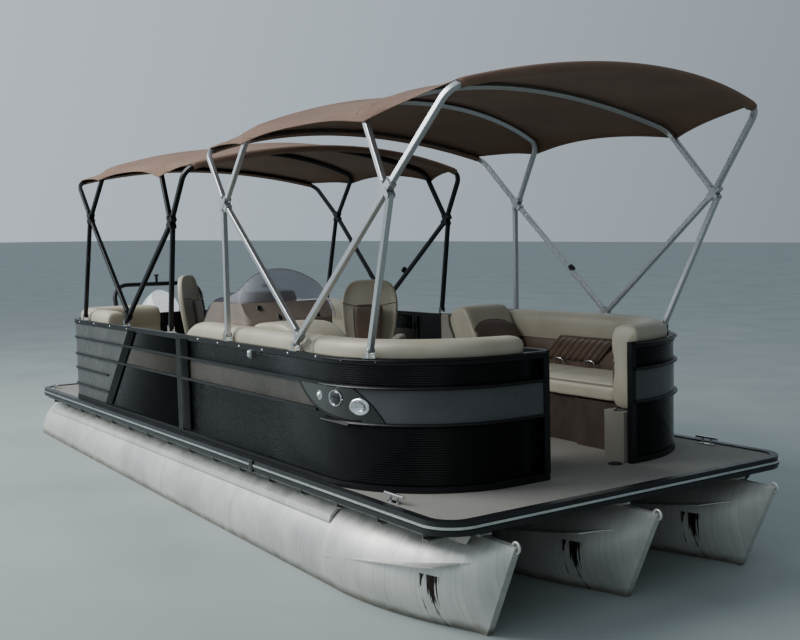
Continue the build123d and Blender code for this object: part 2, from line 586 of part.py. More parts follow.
def chair_top():
    """Swivel chair facing +X about the origin, above its post."""
    w = CHAIR_WIDTH
    plate = Pos(0, 0, CHAIR_SEAT_Z - 94) * Cylinder(120, 14)
    seat = box(-210, 270, -w / 2, w / 2, CHAIR_SEAT_Z - 88, CHAIR_SEAT_Z + 30)
    seat = fillet(seat.edges().filter_by(Axis.Z), 60)
    outline = make_face(Polyline((-290, CHAIR_SEAT_Z - 40), (-190, CHAIR_SEAT_Z - 40), (-230, 760), (-265, CHAIR_TOP),
                                 (-375, CHAIR_TOP), (-370, 760), close=True))
    back = extrude(Plane((0, w / 2, 0), x_dir=(1, 0, 0), z_dir=(0, -1, 0)) * outline, w)
    back = fillet(back.edges().filter_by(Axis.X, tolerance=25).sort_by(Axis.Z)[-2:], 110)
    arms = None
    for s in (-1, 1):
        arm = box(-230, 130, s * (w / 2 + 2), s * (w / 2 + 72), CHAIR_SEAT_Z + 110, CHAIR_SEAT_Z + 200)
        arm = fillet(arm.edges().filter_by(Axis.Y), 30)
        stay = box(-250, -180, s * (w / 2 - 8), s * (w / 2 + 40), CHAIR_SEAT_Z - 20, CHAIR_SEAT_Z + 150)
        arms = arm + stay if arms is None else arms + arm + stay
    return plate + seat + back + arms


def build_chairs():
    posts = None
    for name, (x, y, turn, lift) in (("helm_chair", HELM_CHAIR), ("mate_chair", MATE_CHAIR)):
        foot = Pos(x, y, 10 + SEAT_GAP) * Cylinder(190, 20)
        post_top = CHAIR_SEAT_Z - 101 - SEAT_GAP + lift
        post = Pos(x, y, post_top / 2 + 5) * Cylinder(CHAIR_POST_R, post_top - 10)
        one = foot + post
        posts = one if posts is None else posts + one
        parts[name] = Pos(x, y, lift) * Rot(0, 0, turn) * chair_top()
        pivots[name] = dict(pos=(x, y, 0.0), axis=(0, 0, 1))
    parts["chair_posts"] = posts


# Stern

def build_tow_bar():
    path = Polyline((-TOW_HALF, -60), (-TOW_HALF, TOW_LENGTH), (TOW_HALF, TOW_LENGTH), (TOW_HALF, -60))
    path = fillet(path.vertices().sort_by(Axis.Y)[-2:], TOW_BEND_R)
    lean = radians(TOW_LEAN)
    path = Plane((TOW_X, 0, 0), x_dir=(0, 1, 0), z_dir=(cos(lean), 0, sin(lean))) * path
    bar = sweep(Plane(path @ 0, z_dir=path % 0) * Circle(TOW_R), path=path)
    bar = bar - box(-8000, 0, -2000, 2000, -500, SEAT_GAP)
    top = Pos(TOW_X - TOW_LENGTH * sin(lean), 0, TOW_LENGTH * cos(lean))
    bar = bar + top * Pos(0, 0, 50) * Cylinder(14, 80) + top * Pos(0, 0, 92) * Cylinder(26, 14)
    for s in (-1, 1):
        bar = bar + box(TOW_X - 60, TOW_X + 60, s * TOW_HALF - 50, s * TOW_HALF + 50, SEAT_GAP, 12)
    return bar


def tilt(shape, angle=REST_TILT):
    """Raise the motor: its lower part swings aft about the tilt pin."""
    return Pos(PIVOT_X, 0, PIVOT_Z) * Rot(0, angle, 0) * Pos(-PIVOT_X, 0, -PIVOT_Z) * shape


def build_outboard():
    # pod behind the centre tube, with the board that carries the clamp
    pod_side = make_face(Polyline((-CENTRE_TUBE_STERN - SEAT_GAP, POD_TOP), (-CENTRE_TUBE_STERN - SEAT_GAP, TUBE_BOTTOM + 40),
                                  (TRANSOM_X, TUBE_BOTTOM + 190), (TRANSOM_X, PIVOT_Z - 60), (TRANSOM_X + 55, PIVOT_Z - 60),
                                  (TRANSOM_X + 55, POD_TOP), close=True))
    parts["transom"] = extrude(Plane((0, POD_HALF, 0), x_dir=(1, 0, 0), z_dir=(0, -1, 0)) * pod_side, 2 * POD_HALF)
    clamp = None
    for s in (-1, 1):
        y = s * 130.0
        cheek = box(TRANSOM_X - 90, TRANSOM_X - SEAT_GAP, y - 14, y + 14, -280, PIVOT_Z + 30)
        clamp = cheek if clamp is None else clamp + cheek
    clamp = clamp + box(TRANSOM_X - 30, TRANSOM_X - SEAT_GAP, -130, 130, -280, -190)
    clamp = clamp + rod((PIVOT_X, -150, PIVOT_Z), (PIVOT_X, 150, PIVOT_Z), 12)
    parts["clamp_bracket"] = clamp
    # swivel bracket turns on the tilt pin
    sx = PIVOT_X - 75
    swivel = box(PIVOT_X - 40, PIVOT_X + 20, -108, 108, PIVOT_Z - 40, PIVOT_Z + 40)
    swivel = swivel + box(sx - 40, PIVOT_X - 10, -60, 60, PIVOT_Z - 260, PIVOT_Z + 30)
    swivel = swivel + Pos(sx - 30, 0, PIVOT_Z - 115) * Cylinder(55, 290)
    swivel = swivel - rod((PIVOT_X, -150, PIVOT_Z), (PIVOT_X, 150, PIVOT_Z), 12 + SEAT_GAP)
    swivel = swivel - Pos(sx - 30, 0, PIVOT_Z - 115) * Cylinder(30, 400)
    parts["swivel_bracket"] = tilt(swivel)
    # leg with plate, gearcase and skeg
    lx = sx - 30
    leg = Pos(lx, 0, PIVOT_Z - 110) * Cylinder(30 - SEAT_GAP, 330)
    leg = leg + box(lx - 200, lx + 40, -95, 95, PIVOT_Z + 46, PIVOT_Z + 70)
    leg = leg + box(lx - 200, lx - 62, -85, 85, PIVOT_Z - 330, PIVOT_Z + 70)
    leg = leg + box(lx - 200, lx + 40, -70, 70, PIVOT_Z - 330, PIVOT_Z - 275)
    strut = extrude(Pos(lx - 110, 0, PIVOT_Z - SHAFT_LENGTH - 190) * Ellipse(122, 42), SHAFT_LENGTH - 120)
    plate_z = PIVOT_Z - SHAFT_LENGTH
    plate = extrude(Pos(lx - 160, 0, plate_z) * Ellipse(240, 110), 12)
    prop_z = PIVOT_Z - PROP_DROP
    case = Pos(lx - 120, 0, prop_z) * Rot(0, 90, 0) * Cylinder(58, 260)
    nose = Pos(lx + 10, 0, prop_z) * Sphere(58)
    skeg_pts = [(lx - 20, prop_z), (lx - 60, PIVOT_Z - SKEG_DROP + 60), (lx - 190, PIVOT_Z - SKEG_DROP), (lx - 210, prop_z)]
    skeg = extrude(Plane((0, 6, 0), x_dir=(1, 0, 0), z_dir=(0, -1, 0)) * make_face(Polyline(*skeg_pts, close=True)), 12)
    parts["outboard_leg"] = tilt(leg + strut + plate + case + nose + skeg)
    # cowl: closed housing over the powerhead
    cowl_low = PIVOT_Z + 70 + SEAT_GAP
    # share of height, half length, half width
    cowl_rows = [(0.0, 200.0, 150.0), (0.35, 315.0, 215.0), (0.75, 300.0, 205.0), (1.0, 215.0, 130.0)]
    sections = []
    for share, a, b in cowl_rows:
        z = cowl_low + share * (COWL_TOP - 70)
        sections.append(Pos(lx - 110, 0, z) * Ellipse(a, b))
    parts["outboard_cowl"] = tilt(loft(sections))
    # propeller on its shaft, behind the gearcase
    px = lx - 120 - 130 - 5
    hub = Pos(px - 50, 0, prop_z) * Rot(0, 90, 0) * Cylinder(HUB_R, 100)
    prop = hub
    for k in range(3):
        blade = extrude(Ellipse((PROP_R - HUB_R) / 2 + 3, 46), 7)
        blade = Pos(0, 0, (PROP_R + HUB_R) / 2 - 3) * Rot(0, 90, 0) * blade
        blade = Rot(0, 0, 28) * blade
        prop = prop + Pos(px - 50, 0, prop_z) * Rot(120 * k, 0, 0) * blade
    prop = prop - Pos(px - 50, 0, prop_z) * Rot(0, 90, 0) * Cylinder(12, 200)
    parts["propeller"] = tilt(prop)
    shaft = Pos(px - 45, 0, prop_z) * Rot(0, 90, 0) * Cylinder(12 - SEAT_GAP, 130)
    parts["outboard_leg"] = parts["outboard_leg"] + tilt(shaft)
    a = radians(REST_TILT)

    def moved(x, z):
        dx, dz = x - PIVOT_X, z - PIVOT_Z
        return (PIVOT_X + dx * cos(a) + dz * sin(a), 0.0, PIVOT_Z - dx * sin(a) + dz * cos(a))
    pivots["outboard_tilt"] = dict(pos=(PIVOT_X, 0.0, PIVOT_Z), axis=(0, 1, 0))
    pivots["outboard_steer"] = dict(pos=moved(lx, PIVOT_Z - 115), axis=(sin(a), 0, cos(a)))
    pivots["propeller"] = dict(pos=moved(px - 50, prop_z), axis=(cos(a), 0, -sin(a)))


# Sun tops

def rail_y(x):
    """How far the middle of the top rail lies from the boat's middle at x."""
    reach = max(x - FENCE_FRONT + FENCE_FRONT_R, 0.0)
    r = FENCE_FRONT_R - FRAME / 2
    return FENCE_HALF - FENCE_FRONT_R + sqrt(r * r - reach * reach)


def bar_between(a, b):
    """Square tube from a to b, one face kept square to the boat's length."""
    axis = Vector(*b) - Vector(*a)
    plane = Plane(Vector(*a), x_dir=Vector(0, 1, 0) - axis * (axis.Y / axis.length ** 2), z_dir=axis)
    section = fillet(Rectangle(BOW_TUBE, BOW_TUBE).vertices(), BOW_EDGE_R)
    return extrude(plane * section, axis.length)


def hoop(start, start_y, end, end_y, crown):
    """Upper part of a bow: rises from start (x, z) to its corners at end (x, z), then crosses over."""
    dx, dz = end[0] - start[0], end[1] - start[1]
    rise = hypot(dx, dz)
    plane = Plane((start[0], 0, start[1]), x_dir=(0, 1, 0), z_dir=(dz, 0, -dx))
    flip = 1 if plane.y_dir.Z > 0 else -1
    w = flip * rise
    peak = flip * (rise + crown / (dz / rise))
    left = Line((-start_y, 0), (-end_y, w))
    top = ThreePointArc((-end_y, w), (0, peak), (end_y, w))
    right = Line((end_y, w), (start_y, 0))
    wire = Wire([left, top, right])
    corners = [v for v in wire.vertices() if abs(abs(v.X) - end_y) < 1 and abs(v.Y - w) < 1]
    wire = wire.fillet_2d(CORNER_R, corners)
    path = plane * wire
    section = fillet(Rectangle(BOW_TUBE, BOW_TUBE).vertices(), BOW_EDGE_R)
    at = Plane(path @ 0, x_dir=plane.z_dir, z_dir=path % 0)
    return sweep(at * section, path=path), plane, w, peak


def sheet_arc(plane, w, peak, half):
    """Line of the cloth over a bow's crown, lifted clear of its tube."""
    return Pos(0, 0, SHEET_LIFT) * (plane * ThreePointArc((-half, w), (0, peak), (half, w)))


def sheet_over(arcs):
    """Cloth from bow to bow: a ruled face between each two arcs, as thick as the cloth."""
    out = None
    for a, b in zip(arcs, arcs[1:]):
        panel = extrude(Face.make_surface_from_curves(a.edge(), b.edge()), SHEET_THICK, dir=(0, 0, 1))
        out = panel if out is None else out + panel
    return out


def unit(a, b):
    dx, dz = b[0] - a[0], b[1] - a[1]
    n = hypot(dx, dz)
    return dx / n, dz / n


def bracket(at, y, along, length):
    """Sleeve round a bow, for the ears that are fixed there."""
    angle = degrees(atan2(along[1], along[0]))
    return Pos(at[0], y, at[1]) * Rot(0, -angle, 0) * Box(length, BOW_TUBE + 2 * SLEEVE_WALL, BOW_TUBE + 2 * SLEEVE_WALL)


def ear_pair(root, along, pin, y, clear):
    """Two plates beside a tube that reach from root on the bow to a pin, with that pin."""
    out = rod((pin[0], y - clear - EAR_THICK, pin[1]), (pin[0], y + clear + EAR_THICK, pin[1]), PIN_R)
    for side in (-1, 1):
        outer = y + side * clear + (EAR_THICK if side > 0 else 0)
        plane = Plane((0, outer, 0), x_dir=(1, 0, 0), z_dir=(0, -1, 0))
        r, t = EAR_R + 6, EAR_R - 1
        quad = Polyline((root[0] + r * along[0], root[1] + r * along[1]), (root[0] - r * along[0], root[1] - r * along[1]),
                        (pin[0] - t * along[0], pin[1] - t * along[1]), (pin[0] + t * along[0], pin[1] + t * along[1]), close=True)
        out = out + extrude(plane * make_face(quad), EAR_THICK)
        out = out + rod((pin[0], outer - EAR_THICK, pin[1]), (pin[0], outer, pin[1]), EAR_R)
    return out


def eye_end(pin, y, bore):
    """Rounded eye at a tube's end and the drill for its pin."""
    eye = rod((pin[0], y - BOW_TUBE / 2, pin[1]), (pin[0], y + BOW_TUBE / 2, pin[1]), BOW_TUBE / 2)
    drill = rod((pin[0], y - BOW_TUBE, pin[1]), (pin[0], y + BOW_TUBE, pin[1]), bore)
    return eye, drill


def along(x):
    """Place on the fence's length, in step with it."""
    return FENCE_FRONT + (x - FENCE_FRONT) * ALONG


def build_sun_top(label, row):
    row = dict(row)
    for key in ("hinge", "fore_foot", "aft_foot"):
        row[key] = along(row[key])
    for key in ("fore", "aft"):
        (mx, mz), (cx, cz), half, crown = row[key]
        row[key] = ((along(mx), mz), (along(cx), cz), half * ACROSS, crown)
    for key in ("fore_aux", "aft_aux"):
        (cx, cz), half, crown = row[key]
        row[key] = ((along(cx), cz), half * ACROSS, crown)
    hinge = (row["hinge"], FENCE_TOP + HINGE_RISE)
    clear = BOW_TUBE / 2 + EAR_GAP
    crests = []
    fore_u = unit(hinge, row["fore"][0])
    # the aft bow is pinned to ears on the fore bow, just above the deck hinge
    carrier = (hinge[0] + BOLT_STEP * fore_u[0], hinge[1] + BOLT_STEP * fore_u[1])
    aft_low = (carrier[0] - PIVOT_OFF * fore_u[1], carrier[1] + PIVOT_OFF * fore_u[0])
    for which, sign, low in (("fore", 1, hinge), ("aft", -1, aft_low)):
        mid, corner, corner_y, crown = row[which]
        ux, uz = unit(low, mid)
        up_pin = (mid[0] - sign * uz * PIVOT_OFF, mid[1] + sign * ux * PIVOT_OFF)
        low_pin = (mid[0] + sign * uz * PIVOT_OFF, mid[1] - sign * ux * PIVOT_OFF)
        bow, plane, w, peak = hoop(mid, BOWS_Y, corner, corner_y, crown)
        crests.append((corner[0], sheet_arc(plane, w, peak, corner_y + 8)))
        aux_corner, aux_y, crown = row[which + "_aux"]
        short, plane, w, peak = hoop(up_pin, BOWS_Y, aux_corner, aux_y, crown)
        crests.append((aux_corner[0], sheet_arc(plane, w, peak, aux_y + 8)))
        foot = (row[which + "_foot"], FENCE_TOP + HINGE_RISE)
        legs = None
        for s in (-1, 1):
            y = s * BOWS_Y
            eye, drill = eye_end(low, y, PIN_R + SEAT_GAP)
            bow = bow + bar_between((low[0], y, low[1]), (mid[0], y, mid[1])) + eye - drill
            bow = bow + bracket(mid, y, (ux, uz), SLEEVE_LENGTH)
            for pin in (up_pin, low_pin):
                bow = bow + ear_pair(mid, (ux, uz), pin, y, clear)
            if which == "fore":
                bow = bow + bracket(carrier, y, fore_u, CARRIER_LENGTH) + ear_pair(carrier, fore_u, aft_low, y, clear)
            eye, drill = eye_end(up_pin, y, PIN_R + SEAT_GAP)
            short = short + eye - drill
            eye, drill = eye_end(low_pin, y, PIN_R + SEAT_GAP)
            foot_y = s * rail_y(foot[0])
            foot_eye, foot_drill = eye_end(foot, foot_y, PIN_R + OPEN_PIN_GAP)
            leg = bar_between((low_pin[0], y, low_pin[1]), (foot[0], foot_y, foot[1]))
            leg = leg + eye + foot_eye - drill - foot_drill
            legs = leg if legs is None else legs + leg
        parts[label + "_bow_" + which] = bow
        parts[label + "_short_bow_" + which] = short
        parts[label + "_legs_" + which] = legs
        for name, pin in (("bow", low), ("short_bow", up_pin), ("legs", low_pin)):
            pivots[label + "_" + name + "_" + which] = dict(pos=(pin[0], 0.0, pin[1]), axis=(0, -1, 0))
    crests.sort(key=lambda pair: pair[0])
    parts[label + "_canopy"] = sheet_over([arc for _, arc in crests])
    return [hinge[0], row["fore_foot"], row["aft_foot"]]


def build_hinges(points):
    """Deck hinge on the top rail for each bow or leg end: base plate and two ears with a pin."""
    out = None
    z = FENCE_TOP + HINGE_RISE
    half = BOW_TUBE / 2 + EAR_GAP + 4
    for x in points:
        for s in (-1, 1):
            y = s * rail_y(x)
            turn = -s * degrees(atan2(max(x - FENCE_FRONT + FENCE_FRONT_R, 0.0), rail_y(x) - FENCE_HALF + FENCE_FRONT_R))
            one = Pos(x, y, 0) * Rot(0, 0, turn) * box(-42, 42, -half, half, FENCE_TOP + SEAT_GAP, FENCE_TOP + 6)
            for side in (-1, 1):
                ey = y + side * (BOW_TUBE / 2 + EAR_GAP + 2)
                ear = box(x - 15, x + 15, ey - 2, ey + 2, FENCE_TOP + SEAT_GAP, z)
                ear = ear + rod((x, ey - 2, z), (x, ey + 2, z), 15)
                one = one + ear
            pin = rod((x, y - BOW_TUBE / 2 - 8, z), (x, y + BOW_TUBE / 2 + 8, z), PIN_R)
            one = one + pin
            out = one if out is None else out + one
    return out


# Fittings

def build_fittings():
    lamps = None
    for s in (-1, 1):
        window = box(-1180, -790, s * 700, s * 1400, 0, 2000)
        housing = fence_band(-2, SKIN_INSET + 1.7, BEAD_LOW_Z + 24, BEAD_HIGH_Z - BEAD_HEIGHT / 2 - SEAT_GAP) & window
        lamps = housing if lamps is None else lamps + housing
    parts["docking_lights"] = lamps
    cleats = None
    for x, s in ((-560, -1), (-560, 1), (TOW_X, -1), (TOW_X, 1)):
        y = s * (BEAM / 2 - 100)
        bar = rod((x - 85, y, 42), (x + 85, y, 42), 8)
        feet = rod((x - 32, y, SEAT_GAP), (x - 32, y, 42), 8) + rod((x + 32, y, SEAT_GAP), (x + 32, y, 42), 8)
        base = box(x - 50, x + 50, y - 16, y + 16, SEAT_GAP, 6)
        one = bar + feet + base
        cleats = one if cleats is None else cleats + one
    parts["cleats"] = cleats


def build_all():
    for name, y in (("starboard", -TUBE_Y), ("centre", 0.0), ("port", TUBE_Y)):
        stern = CENTRE_TUBE_STERN if y == 0 else TUBE_STERN
        aft = -CENTRE_TUBE_STERN + 10 if y == 0 else 120 - DECK_LENGTH
        parts["pontoon_" + name] = Pos(0, y, 0) * (build_pontoon(stern) + build_riser(0, aft, RISER_FRONT))
    parts["deck_frame"] = build_deck_frame()
    build_deck()
    build_fence()
    build_gates()
    build_lounges()
    build_stern_bench()
    build_console()
    build_chairs()
    parts["tow_bar"] = build_tow_bar()
    build_outboard()
    hinge_points = []
    for label, row in SUN_TOPS.items():
        hinge_points += build_sun_top(label, row)
    parts["sun_top_hinges"] = build_hinges(hinge_points)
    build_fittings()


build_all()
whole = Compound(children=[Compound(p.solids()) for p in parts.values()]).bounding_box()
SHIFT = Vector(-(whole.min.X + whole.max.X) / 2, -(whole.min.Y + whole.max.Y) / 2, -whole.min.Z)

if __name__ == "__main__":
    os.makedirs("parts", exist_ok=True)
    for name, shape in parts.items():
        export_step(Pos(SHIFT) * Compound(shape.solids()), "parts/" + name + ".step")
    print(len(parts), "parts; size", whole.size, "shift", SHIFT)
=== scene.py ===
# %% [markdown]
# A pontoon boat: a fenced deck on three aluminium tubes, with two folding sun tops.
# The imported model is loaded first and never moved. Every piece made here is
# drawn in millimetres from the deck's front edge and top, as a builder would measure
# it, and is put in its place in metres when it is finished.

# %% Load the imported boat
from math import atan2, cos, hypot, pi, radians, sin, sqrt

import bmesh
import bpy
from mathutils import Matrix, Vector


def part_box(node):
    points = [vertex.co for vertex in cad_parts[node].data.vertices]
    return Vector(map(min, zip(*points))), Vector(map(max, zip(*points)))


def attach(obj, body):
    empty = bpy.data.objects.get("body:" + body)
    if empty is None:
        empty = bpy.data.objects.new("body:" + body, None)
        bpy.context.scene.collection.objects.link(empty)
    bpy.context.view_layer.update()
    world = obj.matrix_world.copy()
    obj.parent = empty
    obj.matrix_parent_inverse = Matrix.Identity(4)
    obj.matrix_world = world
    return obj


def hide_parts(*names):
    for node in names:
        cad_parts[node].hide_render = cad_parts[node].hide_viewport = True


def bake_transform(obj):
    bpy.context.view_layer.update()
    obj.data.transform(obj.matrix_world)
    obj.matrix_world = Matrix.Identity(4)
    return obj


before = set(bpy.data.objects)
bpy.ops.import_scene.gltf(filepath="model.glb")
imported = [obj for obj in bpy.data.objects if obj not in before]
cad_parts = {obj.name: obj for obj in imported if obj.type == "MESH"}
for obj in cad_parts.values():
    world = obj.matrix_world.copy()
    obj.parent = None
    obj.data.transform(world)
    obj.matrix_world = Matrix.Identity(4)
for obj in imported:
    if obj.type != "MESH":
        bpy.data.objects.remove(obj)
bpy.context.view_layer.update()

DECK_EDGE = Vector((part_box("rub_rail")[1].x, 0.0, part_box("deck_floor")[1].z))


def at(x, y, z):
    """A place measured from the deck's front edge and top, in metres in the boat's frame."""
    return DECK_EDGE + Vector((x, y, z)) / 1000


def in_scene(name, data):
    """A new object in the scene."""
    made = bpy.data.objects.new(name, data)
    bpy.context.scene.collection.objects.link(made)
    return made


def drawn_mesh(name, bm, place):
    """Mesh of a finished drawing, moved by a matrix."""
    mesh = bpy.data.meshes.new(name)
    bm.to_mesh(mesh)
    bm.free()
    mesh.transform(place)
    return mesh


MM_TO_FRAME = Matrix.Translation(DECK_EDGE) @ Matrix.Scale(0.001, 4)


# %% [markdown]
# The camera stands where the photographer stood: in front of the bow, to starboard,
# about 1.9 m above the water. Its lens is a little longer than normal.

# %% Camera
def aim(heading, down, roll):
    """Turned axes of a camera: heading from +Y towards -X, then how far it looks down and leans."""
    look = Vector((-sin(heading) * cos(down), cos(heading) * cos(down), -sin(down)))
    right = look.cross(Vector((0, 0, 1))).normalized()
    up = right.cross(look)
    level = Matrix((right * cos(roll) + up * sin(roll), up * cos(roll) - right * sin(roll), -look))
    return level.transposed().to_4x4()


camera = in_scene("camera", bpy.data.cameras.new("camera"))
camera.data.sensor_width = 36.0
camera.data.lens = 47.84
camera.data.clip_end = 500.0
EYE = (3906, -4138, 1319)
camera.matrix_world = Matrix.Translation(at(*EYE)) @ aim(radians(56.06), radians(4.10), radians(-1.42))
bpy.context.scene.camera = camera
print("camera at", camera.location)

# %% [markdown]
# The floor lies where the water would: the boat floats a little bow up, so the floor
# leans by that much against the deck. The light is a bright overcast sky: a pale
# surround, one large soft lamp high up and a weak one from the bow.

# %% Floor and light
WATER_UP = Vector((0.0232, 0.0104, 0.9997)).normalized()
WATER_LEVEL = -620.0
water_point = DECK_EDGE + WATER_UP * (WATER_LEVEL / 1000)


def colour(hex_code):
    """Linear colour from an sRGB hex code."""
    parts = [int(hex_code[i:i + 2], 16) / 255 for i in (0, 2, 4)]
    return tuple(c / 12.92 if c <= 0.04045 else ((c + 0.055) / 1.055) ** 2.4 for c in parts) + (1.0,)


def add(tree, kind, settings=None, links=None):
    """Adds one node, sets its sockets or properties, and links its inputs."""
    made = tree.nodes.new(kind)
    for key, value in (settings or {}).items():
        if isinstance(key, int) or key in made.inputs:
            made.inputs[key].default_value = value
        else:
            setattr(made, key, value)
    for key, source in (links or {}).items():
        tree.links.new(source, made.inputs[key])
    return made


def start(name, settings=None):
    """A new material with its shader's settings and the piece's own coordinates in metres."""
    material = bpy.data.materials.new(name)
    material.use_nodes = True
    tree = material.node_tree
    tree.nodes.clear()
    shader = add(tree, "ShaderNodeBsdfPrincipled", settings)
    add(tree, "ShaderNodeOutputMaterial", links={"Surface": shader.outputs[0]})
    return material, tree, shader, add(tree, "ShaderNodeTexCoord").outputs["Object"]


def clouds(tree, where, size, tones, stretch=(1, 1, 1), detail=3.0):
    """Cloudy change between tones [(place, hex)], with patches about size mm across."""
    place = add(tree, "ShaderNodeMapping", {"Scale": tuple(1000 * s / size for s in stretch)}, {"Vector": where})
    noise = add(tree, "ShaderNodeTexNoise", {"Scale": 1.0, "Detail": detail}, {"Vector": place.outputs[0]})
    ramp = add(tree, "ShaderNodeValToRGB", links={"Fac": noise.outputs["Fac"]})
    ends = ramp.color_ramp.elements
    ends[0].position, ends[0].color = tones[0][0], colour(tones[0][1])
    ends[1].position, ends[1].color = tones[-1][0], colour(tones[-1][1])
    for spot, tone in tones[1:-1]:
        ends.new(spot).color = colour(tone)
    return ramp.outputs["Color"]


def mixed(tree, share, below, above):
    """Colour below where share is 0, above where it is 1."""
    return add(tree, "ShaderNodeMix", {"data_type": "RGBA"}, {0: share, 6: below, 7: above}).outputs[2]


floor_paint, tree, shader, where = start("matt_pale_studio_floor", {"Roughness": 0.7})
tree.links.new(clouds(tree, where, 900, [(0.3, "8e9896"), (0.7, "9ba4a2")]), shader.inputs["Base Color"])
bm = bmesh.new()
bmesh.ops.create_grid(bm, x_segments=1, y_segments=1, size=150.0)
mesh = drawn_mesh("floor", bm, Matrix.Translation(water_point) @ WATER_UP.to_track_quat("Z", "Y").to_matrix().to_4x4())
mesh.materials.append(floor_paint)
floor = in_scene("floor", mesh)

# the sky is brightest to starboard and astern, and dim ahead of the bow
sky = bpy.data.worlds.new("overcast_sky")
sky.use_nodes = True
tree = sky.node_tree
backdrop = tree.nodes["Background"]
backdrop.inputs["Color"].default_value = colour("c5d2dd")
looking = add(tree, "ShaderNodeTexCoord").outputs["Generated"]
toward = add(tree, "ShaderNodeVectorMath", {"operation": "DOT_PRODUCT", 1: Vector((-0.66, -0.68, 0.32))}, {0: looking})
brightness = add(tree, "ShaderNodeMapRange", {"From Min": -0.75, "From Max": 0.95, "To Min": 0.13, "To Max": 1.3},
                 {"Value": toward.outputs["Value"]})
tree.links.new(brightness.outputs[0], backdrop.inputs["Strength"])
bpy.context.scene.world = sky


def soft_lamp(name, place, aimed_at, size, watts):
    """A square lamp that shines at a point."""
    lamp = in_scene(name, bpy.data.lights.new(name, "AREA"))
    lamp.data.size = size
    lamp.data.energy = watts
    lamp.location = at(*place)
    lamp.rotation_mode = "QUATERNION"
    lamp.rotation_quaternion = (at(*aimed_at) - at(*place)).to_track_quat("-Z", "Y")


soft_lamp("sky_lamp", (-6500, -7500, 7400), (-2800, 0, 0), 6.5, 1450.0)
soft_lamp("bow_lamp", (6500, -6500, 5000), (-1500, 0, 0), 5.0, 40.0)
print("floor leans", round(WATER_UP.angle(Vector((0, 0, 1))) * 180 / pi, 2), "degrees")

# %% [markdown]
# Bare aluminium: the tubes are rolled from mill sheet, so the brushing runs round
# them in rings. Water has left a brown line just above its level. The risers,
# cross-members and the transom are the same sheet with fewer marks. The deck frame
# and the gussets under the deck are drawn in a much darker grey: painted shade under the deck.

# %% Bare aluminium
def height_over_water(tree, where):
    """Metres above the water's level."""
    dot = add(tree, "ShaderNodeVectorMath", {"operation": "DOT_PRODUCT", 1: WATER_UP}, {0: where})
    return add(tree, "ShaderNodeMath", {"operation": "SUBTRACT", 1: water_point.dot(WATER_UP)},
               {0: dot.outputs["Value"]}).outputs[0]


def between(tree, value, low, high, to_low=0.0, to_high=1.0):
    """Share of the way that a value has gone from low to high."""
    return add(tree, "ShaderNodeMapRange", {"From Min": low, "From Max": high, "To Min": to_low, "To Max": to_high},
               {"Value": value}).outputs[0]


def times(tree, first, second):
    """Product of two values."""
    return add(tree, "ShaderNodeMath", {"operation": "MULTIPLY"}, {0: first, 1: second}).outputs[0]


def raised(tree, shader, height, depth):
    """Bump of depth mm from a height pattern."""
    bump = add(tree, "ShaderNodeBump", {"Distance": depth / 1000}, {"Height": height})
    tree.links.new(bump.outputs[0], shader.inputs["Normal"])


tube_metal, tree, shader, where = start("rolled_bare_aluminium", {"Metallic": 0.6})
rings = clouds(tree, where, 12, [(0.3, "b0b0ac"), (0.7, "e0dfda")], (1, 0.015, 0.015), 2.0)
patches = clouds(tree, where, 380, [(0.3, "b4b4b0"), (0.55, "d2d1cb"), (0.75, "e2e0d8")])
metal = add(tree, "ShaderNodeMix", {"data_type": "RGBA", 0: 0.35}, {6: patches, 7: rings}).outputs[2]
over = height_over_water(tree, where)
wobble = add(tree, "ShaderNodeTexNoise", {"Scale": 9.0, "Detail": 4.0}, {"Vector": where}).outputs["Fac"]
line = add(tree, "ShaderNodeMath", {"operation": "SUBTRACT"}, {0: over, 1: between(tree, wobble, 0.0, 1.0, 0.0, 0.05)})
scum = clouds(tree, where, 60, [(0.3, "4c4234"), (0.7, "7a6f5c")])
metal = mixed(tree, between(tree, line.outputs[0], 0.035, -0.01, 0.0, 0.75), metal, scum)


def drips(tree, where, middle, width, top, length):
    """Share of dark streaks that run down from a fin, on the tubes' starboard side."""
    parts = add(tree, "ShaderNodeSeparateXYZ", links={"Vector": where})
    across = add(tree, "ShaderNodeMath", {"operation": "SUBTRACT", 1: DECK_EDGE.x + middle / 1000},
                 {0: parts.outputs["X"]})
    aside = add(tree, "ShaderNodeMath", {"operation": "ABSOLUTE"}, {0: across.outputs[0]}).outputs[0]
    fin = DECK_EDGE.z + top / 1000
    down = between(tree, parts.outputs["Z"], fin, fin - length / 1000)
    streaks = add(tree, "ShaderNodeMapping", {"Scale": (130, 0, 9)}, {"Vector": where})
    noise = add(tree, "ShaderNodeTexNoise", {"Scale": 1.0, "Detail": 3.0}, {"Vector": streaks.outputs[0]})
    noise = noise.outputs["Fac"]
    fade = add(tree, "ShaderNodeMath", {"operation": "ADD"}, {0: between(tree, aside, 0.0, width / 1000, 0.0, 0.34),
                                                              1: between(tree, down, 0.0, 1.0, 0.0, 0.3)}).outputs[0]
    wet = add(tree, "ShaderNodeMath", {"operation": "SUBTRACT"}, {0: noise, 1: fade}).outputs[0]
    mask = between(tree, wet, 0.2, 0.26)
    below = between(tree, parts.outputs["Z"], fin, fin - 0.004)
    outward = add(tree, "ShaderNodeSeparateXYZ", links={"Vector": add(tree, "ShaderNodeNewGeometry").outputs["Normal"]})
    starboard = between(tree, outward.outputs["Y"], -0.1, -0.3)
    near = between(tree, aside, width / 1000, width / 1150)
    return times(tree, times(tree, mask, below), times(tree, starboard, near))


